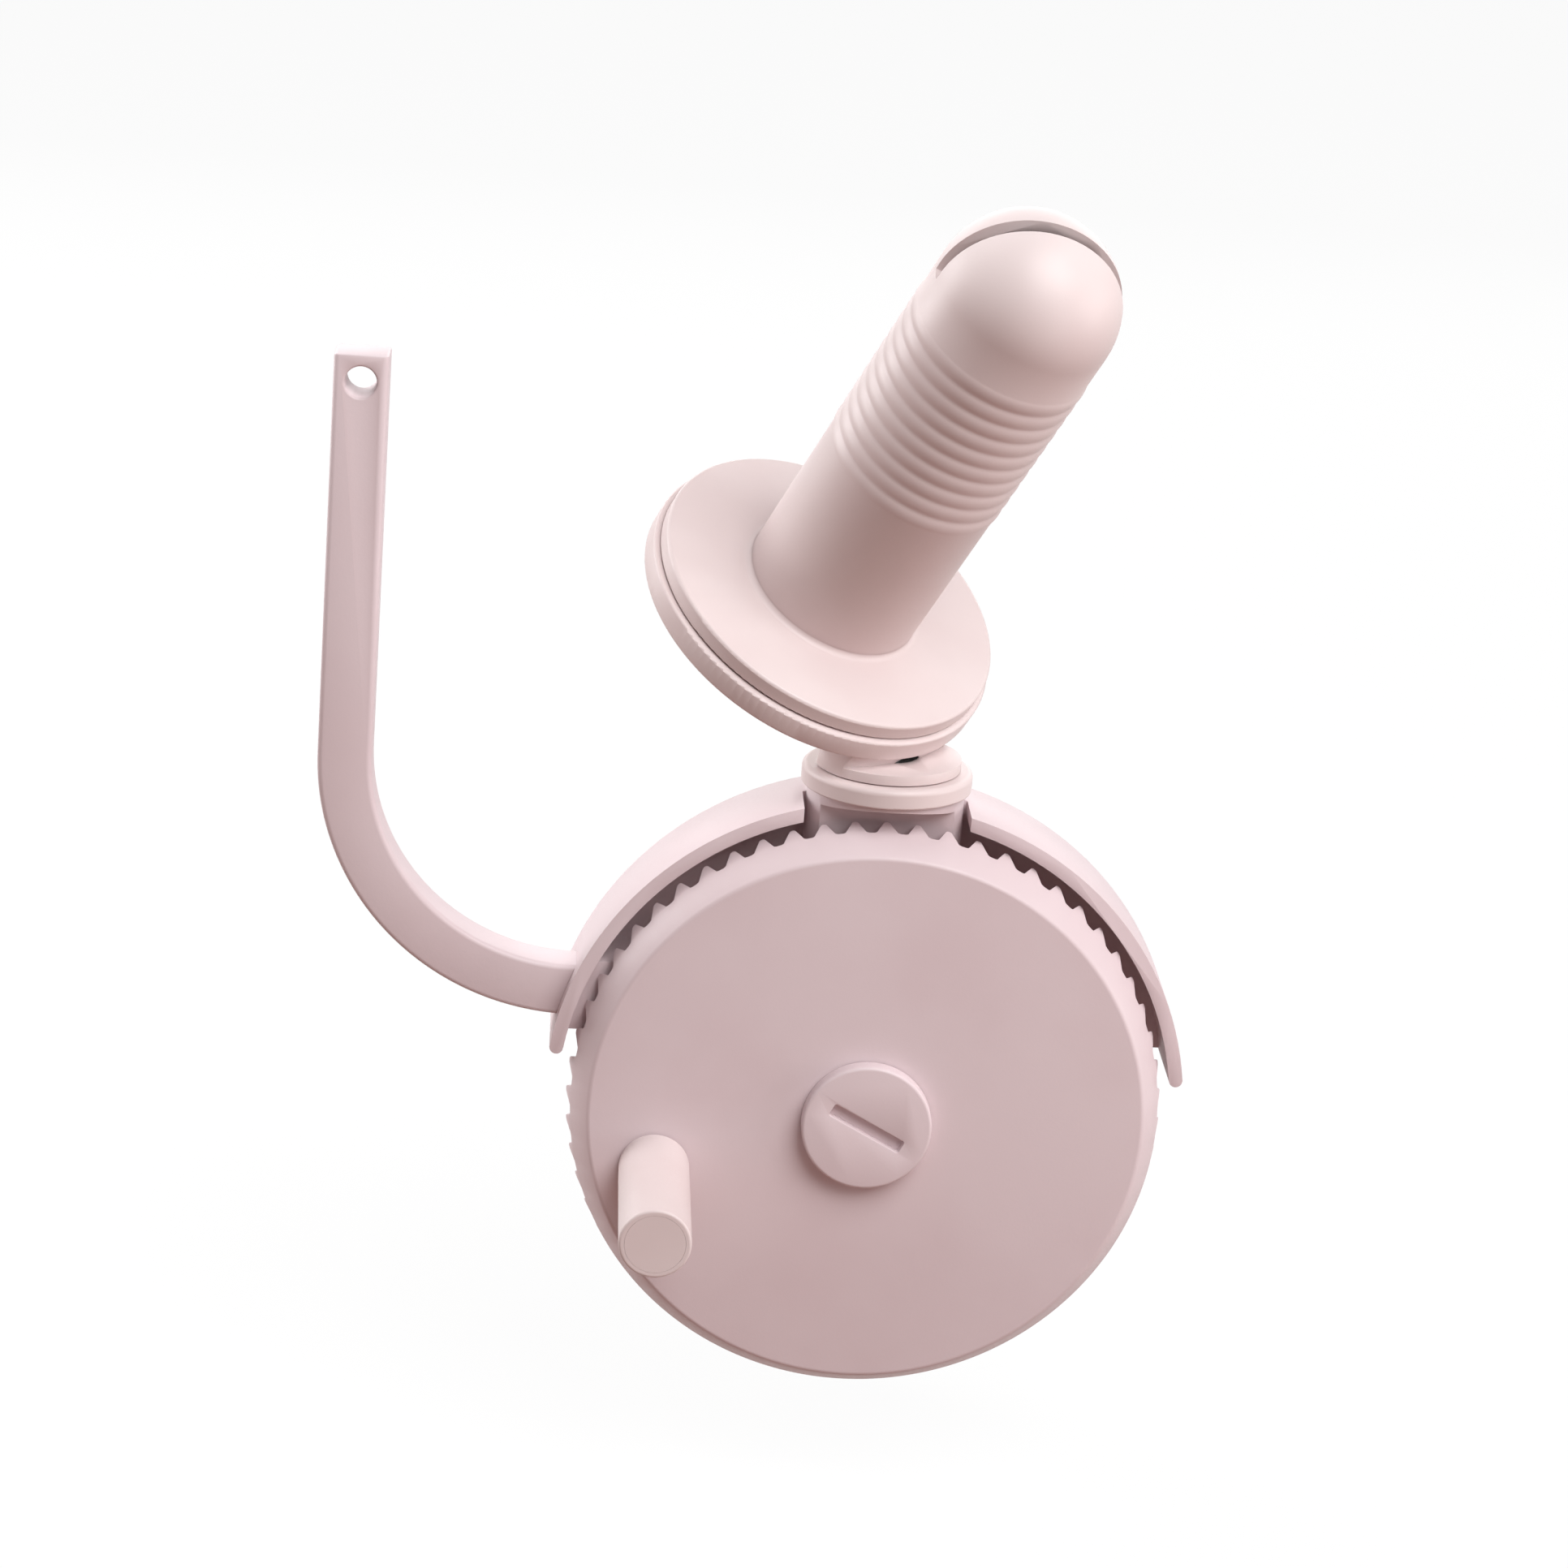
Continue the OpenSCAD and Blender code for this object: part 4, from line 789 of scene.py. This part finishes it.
class WINDER_OT_guide_arm(bpy.types.Operator):
    """Extrudes the guide arm down from its tip, spins its bend and bores the yarn eye"""

    bl_idname = "winder.guide_arm"
    bl_label = "Guide Arm"

    def execute(self, context):
        s = context.scene.winder_arm
        low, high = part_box("guide_arm")
        x, y = low.x + s.width / 2, (low.y + high.y) / 2
        root_z = low.z + s.width / 2
        bend = Vector((x + s.bend_r, y, root_z + s.bend_r))
        bpy.ops.object.select_all(action="DESELECT")
        bpy.ops.mesh.primitive_plane_add(size=1.0)
        arm = bpy.context.active_object
        arm.name = arm.data.name = "bent_arm"
        arm.dimensions = (s.width, s.depth, 0.0)
        bpy.ops.object.transform_apply(location=False, rotation=False, scale=True)
        edit_mode()
        bpy.ops.mesh.select_all(action="SELECT")
        bpy.ops.mesh.bevel(offset=s.edge, segments=CORNER_SEGMENTS, affect="VERTICES")
        bpy.ops.mesh.select_all(action="SELECT")
        bpy.ops.transform.translate(value=(x, y, high.z))
        bpy.ops.mesh.extrude_region_move(TRANSFORM_OT_translate={"value": (0, 0, bend.z - high.z)})
        bpy.ops.mesh.spin(steps=BEND_STEPS, angle=math.pi / 2, center=bend, axis=(0, 1, 0))
        bpy.ops.mesh.extrude_region_move(TRANSFORM_OT_translate={"value": (high.x - bend.x, 0, 0)})
        finish_mesh()
        combine(arm, self.eye_cutter(s, Vector((x, y, high.z - s.eye_drop))), "DIFFERENCE")
        edit_mode()
        eye = Vector((x, high.z - s.eye_drop))

        def on_eye_rim(co):
            return abs((Vector((co.x, co.z)) - eye).length - s.eye_r) < EYE_MARGIN

        select_edges(arm, lambda co: on_eye_rim(co) and abs(abs(co.y - y) - s.depth / 2) < WELD)
        bpy.ops.mesh.bevel(offset=s.eye_edge, segments=RIM_SEGMENTS)
        select_edges(arm, lambda co: co.z > high.z - WELD)
        bpy.ops.mesh.bevel(offset=s.tip_edge, segments=EDGE_SEGMENTS)
        finish_mesh()
        smooth(arm, CREASE)
        stand_for(arm, "arm", pink(), "pink_plastic", "guide_arm")
        return {"FINISHED"}

    def eye_cutter(self, s, centre):
        """A pin as thick as the yarn eye, across the arm."""
        bpy.ops.object.select_all(action="DESELECT")
        bpy.ops.mesh.primitive_cylinder_add(vertices=EYE_STEPS, radius=s.eye_r, depth=2 * s.depth)
        cutter = bpy.context.active_object
        place(cutter, Matrix.Translation(centre) @ Matrix.Rotation(math.pi / 2, 4, "X"))
        return cutter


class WINDER_OT_housing(bpy.types.Operator):
    """Rounds the moulded edges of the housing"""

    bl_idname = "winder.housing"
    bl_label = "Housing"

    def execute(self, context):
        width = context.scene.winder_clamp.soft_edge
        stand_for(soften("housing", "guard_housing", width), "frame", pink(), "pink_plastic", "housing")
        return {"FINISHED"}


class WINDER_OT_clamp(bpy.types.Operator):
    """Models the clamp's frame, threaded screw, fluted knob and grooved pad"""

    bl_idname = "winder.clamp"
    bl_label = "Clamp"

    def execute(self, context):
        s = context.scene.winder_clamp
        body = soften("clamp_frame", "clamp_body", s.soft_edge)
        stand_for(body, "frame", pink(), "pink_plastic", "clamp_frame")
        stand_for(self.screw(s), "screw", steel(), "steel", "clamp_screw")
        stand_for(self.knob(s), "screw", pink(), "pink_plastic", "clamp_knob")
        stand_for(self.pad(s), "pad", pale(), "pale_plastic", "clamp_pad")
        return {"FINISHED"}

    def screw(self, s):
        """Threaded screw: a thread wound upwards, cut square at both ends, with its nose on top."""
        low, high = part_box("clamp_screw")
        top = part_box("clamp_pad")[0].z - PAD_GAP
        pitch, crest, root = s.thread_pitch, s.screw_r, s.screw_r - s.thread_depth
        screw = start_line("threaded_screw")
        draw_line([
            (root, 0, 0),
            (root, 0, FLANK_UP[0] * pitch),
            (crest, 0, FLANK_UP[1] * pitch),
            (crest, 0, FLANK_DOWN[0] * pitch),
            (root, 0, FLANK_DOWN[1] * pitch),
            (root, 0, pitch),
        ])
        object_mode()
        wind = screw.modifiers.new("Wind", "SCREW")
        wind.screw_offset = pitch
        wind.iterations = math.ceil((top - low.z) / pitch) + SPARE_TURNS
        wind.steps = wind.render_steps = THREAD_STEPS
        apply_modifiers(screw)
        edit_mode()
        bpy.ops.mesh.select_all(action="SELECT")
        bpy.ops.transform.translate(value=(0, 0, low.z - START_TURNS * pitch))
        bpy.ops.mesh.remove_doubles(threshold=WELD)
        for z, up in ((low.z, -1), (top, 1)):
            bpy.ops.mesh.select_all(action="SELECT")
            bpy.ops.mesh.bisect(
                plane_co=(0, 0, z), plane_no=(0, 0, up), use_fill=True, clear_outer=True, threshold=WELD
            )
        finish_mesh()
        nose = lathe("screw_nose", rounded([
            (0.0, top - NOSE_SUNK, 0.0),
            (s.nose_r, top - NOSE_SUNK, 0.0),
            (s.nose_r, high.z, NOSE_EDGE),
            (0.0, high.z, 0.0),
        ]), PIN_STEPS)
        combine(screw, nose, "UNION")
        smooth(screw, THREAD_CREASE)
        return screw

    def knob(self, s):
        """Knob whose side is pressed in for the fingers."""
        low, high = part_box("clamp_knob")
        steps = s.flutes * FLUTE_STEPS
        bore = s.screw_r + KNOB_FIT
        floor = low.z + KNOB_FLOOR
        knob = lathe("fluted_knob", rounded([
            (0.0, low.z, 0.0),
            (s.knob_r, low.z, s.knob_edge),
            (s.knob_r, high.z, s.knob_edge),
            (bore, high.z, 0.0),
            (bore, floor, 0.0),
            (0.0, floor, 0.0),
        ], KNOB_SEGMENTS), steps)
        edit_mode()
        flute = 2 * s.flute_depth
        orbit = s.knob_r + flute - s.flute_depth
        for j in range(FLUTE_STEPS // 4):
            turn = FULL_TURN * j / steps
            reach = flute * flute - (orbit * math.sin(turn)) ** 2
            if reach <= 0:
                break
            inset = (orbit * math.cos(turn) - math.sqrt(reach)) / s.knob_r

            def in_flute(co, j=j):
                column = round(math.atan2(co.y, co.x) * steps / FULL_TURN) % FLUTE_STEPS
                on_side = co.xy.length > s.knob_r - s.knob_edge - WELD
                return on_side and min(column, FLUTE_STEPS - column) == j

            select_verts(knob, in_flute)
            bpy.ops.transform.resize(value=(inset, inset, 1), center_override=(0, 0, low.z))
        object_mode()
        smooth(knob, DRAWN_CREASE)
        return knob

    def pad(self, s):
        """Pad with rings of grooves on the face that meets the table."""
        low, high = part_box("clamp_pad")
        outer = high.x
        bore = s.nose_r + PAD_FIT
        pocket = low.z + PAD_POCKET
        floor = high.z - s.pad_groove
        face = [(0.0, high.z, 0.0)]
        for ring in GROOVES:
            at = ring * outer
            face += [
                (at - GROOVE_HALF, high.z, 0.0),
                (at - GROOVE_HALF / 2, floor, 0.0),
                (at + GROOVE_HALF / 2, floor, 0.0),
                (at + GROOVE_HALF, high.z, 0.0),
            ]
        pad = lathe("grooved_pad", rounded(face + [
            (outer, high.z, PAD_FACE_EDGE),
            (outer, low.z, PAD_BACK_EDGE),
            (bore, low.z, 0.0),
            (bore, pocket, 0.0),
            (0.0, pocket, 0.0),
        ]), PAD_STEPS)
        smooth(pad, CREASE)
        return pad


class WINDER_OT_spindle(bpy.types.Operator):
    """Spins the ringed spindle, rounds the tilting head's edges and dresses what turns with them"""

    bl_idname = "winder.spindle"
    bl_label = "Spindle and Head"

    def execute(self, context):
        edge = context.scene.winder_clamp.slot_edge
        spindle = self.body(context.scene.winder_spindle, edge)
        stand_for(spindle, "spindle", pale(), "pale_plastic", "spindle_body")
        head = soften("tilt_head", "tilted_head", edge, HEAD_CREASE)
        stand_for(head, "head", pale(), "pale_plastic", "tilt_head")
        dress(pale(), "spindle_flange", "tower_collar", "drive_pinion")
        return {"FINISHED"}

    def body(self, s, edge):
        """Spins the hollow spindle with its rings and dome and cuts the yarn slot."""
        spindle = lathe("ringed_spindle", self.outline(s), SPINDLE_STEPS)
        combine(spindle, self.slot_cutter(s), "DIFFERENCE")
        round_edges(spindle, edge, HEAD_CREASE)
        tower_low, tower_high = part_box("tower_collar")
        crossing = Vector((0.0, (tower_low.y + tower_high.y) / 2, s.crossing))
        turn = Matrix.Rotation(-s.lean, 4, "Z") @ Matrix.Rotation(s.tilt, 4, "Y")
        place(spindle, Matrix.Translation(crossing) @ turn @ Matrix.Translation((0, 0, -s.foot)))
        return spindle

    def outline(self, s):
        """Outer line with rings and dome, and the bore's line back to the foot."""
        bore = s.radius - s.wall
        dome = s.height - s.radius
        half = s.ring_pitch * s.ring_share / 2
        across = [2 * k / RING_STEPS - 1 for k in range(RING_STEPS + 1)]
        quarter = [math.pi / 2 * k / DOME_STEPS for k in range(DOME_STEPS + 1)]
        line = [(bore, 0.0), (s.radius, 0.0)]
        for i in range(s.rings):
            middle = s.ring_start + i * s.ring_pitch
            line += [(s.radius + s.ring_height * (1 - u * u), middle + u * half) for u in across]
        line += [(s.radius * math.cos(a), dome + s.radius * math.sin(a)) for a in quarter]
        line += [(bore * math.cos(a), dome + bore * math.sin(a)) for a in reversed(quarter)]
        line.append((bore, 0.0))
        return line

    def slot_cutter(self, s):
        """A block as wide as the yarn slot, which reaches past the dome."""
        cutter = block((s.slot_width, 4 * s.radius, 2 * s.slot_depth))
        place(cutter, Matrix.Rotation(s.slot_turn, 4, "Z") @ Matrix.Translation((0, 0, s.height)))
        return cutter


class WINDER_OT_handle(bpy.types.Operator):
    """Dresses the turning grip and its cap"""

    bl_idname = "winder.handle"
    bl_label = "Handle"

    def execute(self, context):
        dress(pale(), "handle_grip", "grip_cap")
        return {"FINISHED"}


class WINDER_OT_works(bpy.types.Operator):
    """Dresses the gears, bushes and metal parts inside"""

    bl_idname = "winder.works"
    bl_label = "Gears and Fasteners"

    def execute(self, context):
        dress(bearing_white(), "tower_bush", "wheel_bush", "spindle_bush", "sun_gear", "spindle_gear")
        dress(
            steel(), "center_post", "post_nut", "thrust_washer", "axle_washer", "frame_screws", "handle_pin",
            "carriage_shaft", "pinion_screw", "spindle_shaft", "spindle_washer", "spindle_screw",
        )
        return {"FINISHED"}


class WINDER_OT_stage(bpy.types.Operator):
    """Sets up the floor, the lamps and the camera"""

    bl_idname = "winder.stage"
    bl_label = "Stage"

    def execute(self, context):
        stage = context.scene.winder_stage
        self.floor(context.scene.winder_colours.floor, stage.floor_glow)
        self.world(stage.sky)
        for name, at, width, height, setting in LAMPS:
            self.lamp(name, Vector(at), width, height, getattr(stage, setting))
        self.camera(stage)
        context.scene.view_settings.view_transform = "Standard"
        return {"FINISHED"}

    def floor(self, tone, glow_share):
        """Pale floor that shows nearly white, keeps the shadow and sends up only a little warm light."""
        bpy.ops.object.select_all(action="DESELECT")
        bpy.ops.mesh.primitive_plane_add(size=FLOOR_SIZE, location=(0, 0, FLOOR_Z))
        floor = bpy.context.active_object
        floor.name = "floor"
        material = bpy.data.materials.new("Pale Floor")
        material.use_nodes = True
        nodes, links = material.node_tree.nodes, material.node_tree.links
        shader = nodes["Principled BSDF"]
        shader.inputs["Base Color"].default_value = (*tone, 1.0)
        shader.inputs["Roughness"].default_value = FLOOR_ROUGHNESS
        shader.inputs["Specular IOR Level"].default_value = 0.0
        dim = nodes.new("ShaderNodeBsdfDiffuse")
        dim.inputs["Color"].default_value = FLOOR_BOUNCE
        glow = nodes.new("ShaderNodeEmission")
        glow.inputs["Color"].default_value = WHITE
        lit = self.split(nodes, links, 1.0, dim.outputs["BSDF"], shader.outputs["BSDF"])
        shown = self.split(nodes, links, glow_share, lit, glow.outputs["Emission"])
        links.new(shown, nodes["Material Output"].inputs["Surface"])
        floor.data.materials.append(material)

    def split(self, nodes, links, amount, other, seen):
        """Mixes the second shader in by amount where it is seen, and leaves the first for other light."""
        mix = nodes.new("ShaderNodeMixShader")
        links.new(self.seen(nodes, links, amount), mix.inputs["Fac"])
        links.new(other, mix.inputs[1])
        links.new(seen, mix.inputs[2])
        return mix.outputs["Shader"]

    def seen(self, nodes, links, amount):
        """A share for what the camera sees straight, in gloss or through glass, and 0 for other light."""
        path = nodes.new("ShaderNodeLightPath")
        total = path.outputs["Is Camera Ray"]
        for ray in ("Is Glossy Ray", "Is Transmission Ray"):
            either = nodes.new("ShaderNodeMath")
            either.operation = "MAXIMUM"
            links.new(total, either.inputs[0])
            links.new(path.outputs[ray], either.inputs[1])
            total = either.outputs["Value"]
        scale = nodes.new("ShaderNodeMath")
        scale.operation = "MULTIPLY"
        scale.inputs[1].default_value = amount
        links.new(total, scale.inputs[0])
        return scale.outputs["Value"]

    def world(self, strength):
        """Even light from all round, in front of a white background."""
        world = bpy.context.scene.world or bpy.data.worlds.new("World")
        bpy.context.scene.world = world
        world.use_nodes = True
        nodes, links = world.node_tree.nodes, world.node_tree.links
        nodes.clear()
        even = nodes.new("ShaderNodeBackground")
        even.inputs["Color"].default_value = SKY_TINT
        even.inputs["Strength"].default_value = strength
        white = nodes.new("ShaderNodeBackground")
        white.inputs["Color"].default_value = WHITE
        result = nodes.new("ShaderNodeOutputWorld")
        shown = self.split(nodes, links, 1.0, even.outputs["Background"], white.outputs["Background"])
        links.new(shown, result.inputs["Surface"])

    def lamp(self, name, at, width, height, strength):
        """A soft lamp that points at the object."""
        data = bpy.data.lights.new(name, "AREA")
        data.shape = "RECTANGLE"
        data.size = width
        data.size_y = height
        data.energy = strength
        lamp = bpy.data.objects.new(name, data)
        lamp.location = at
        lamp.rotation_euler = (AIM - at).to_track_quat("-Z", "Y").to_euler()
        bpy.context.scene.collection.objects.link(lamp)

    def camera(self, stage):
        """Camera with the photograph's angle, roll and lens."""
        turn, rise = stage.azimuth, stage.elevation
        right = Vector((math.cos(turn), math.sin(turn), 0))
        back = Vector((math.sin(turn) * math.cos(rise), -math.cos(turn) * math.cos(rise), math.sin(rise)))
        up = back.cross(right)
        c, s = math.cos(stage.roll), math.sin(stage.roll)
        axes = Matrix((c * right + s * up, c * up - s * right, back)).transposed()
        data = bpy.data.cameras.new("Camera")
        data.lens = stage.lens
        data.sensor_width = SENSOR
        data.clip_start = CLIP_START
        camera = bpy.data.objects.new("Camera", data)
        camera.matrix_world = Matrix.Translation(stage.place) @ axes.to_4x4()
        bpy.context.scene.collection.objects.link(camera)
        bpy.context.scene.camera = camera


class WINDER_PT_panel(bpy.types.Panel):
    """Lists the winder's pieces in the sidebar"""

    bl_label = "Yarn Ball Winder"
    bl_idname = "WINDER_PT_panel"
    bl_space_type = "VIEW_3D"
    bl_region_type = "UI"
    bl_category = "Winder"

    def draw(self, context):
        for operator in OPERATORS:
            self.layout.operator(operator.bl_idname)


OPERATORS = (
    WINDER_OT_crank_wheel, WINDER_OT_axle_bolt, WINDER_OT_guide_arm, WINDER_OT_housing, WINDER_OT_clamp,
    WINDER_OT_spindle, WINDER_OT_handle, WINDER_OT_works, WINDER_OT_stage,
)
SETTINGS = {
    "winder_wheel": WinderWheelSizes,
    "winder_arm": WinderArmSizes,
    "winder_clamp": WinderClampSizes,
    "winder_spindle": WinderSpindleSizes,
    "winder_colours": WinderColours,
    "winder_stage": WinderStage,
}


def register():
    """Registers the classes and hangs the settings on the scene."""
    for cls in (*SETTINGS.values(), *OPERATORS, WINDER_PT_panel):
        bpy.utils.register_class(cls)
    for name, cls in SETTINGS.items():
        setattr(bpy.types.Scene, name, PointerProperty(type=cls))


def unregister():
    """Takes the settings and the classes away again."""
    for name in SETTINGS:
        delattr(bpy.types.Scene, name)
    for cls in reversed((*SETTINGS.values(), *OPERATORS, WINDER_PT_panel)):
        bpy.utils.unregister_class(cls)


def main():
    """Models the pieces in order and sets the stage."""
    register()
    bpy.ops.winder.crank_wheel()
    bpy.ops.winder.axle_bolt()
    bpy.ops.winder.guide_arm()
    bpy.ops.winder.housing()
    bpy.ops.winder.clamp()
    bpy.ops.winder.spindle()
    bpy.ops.winder.handle()
    bpy.ops.winder.works()
    bpy.ops.winder.stage()


if __name__ == "__main__":
    main()
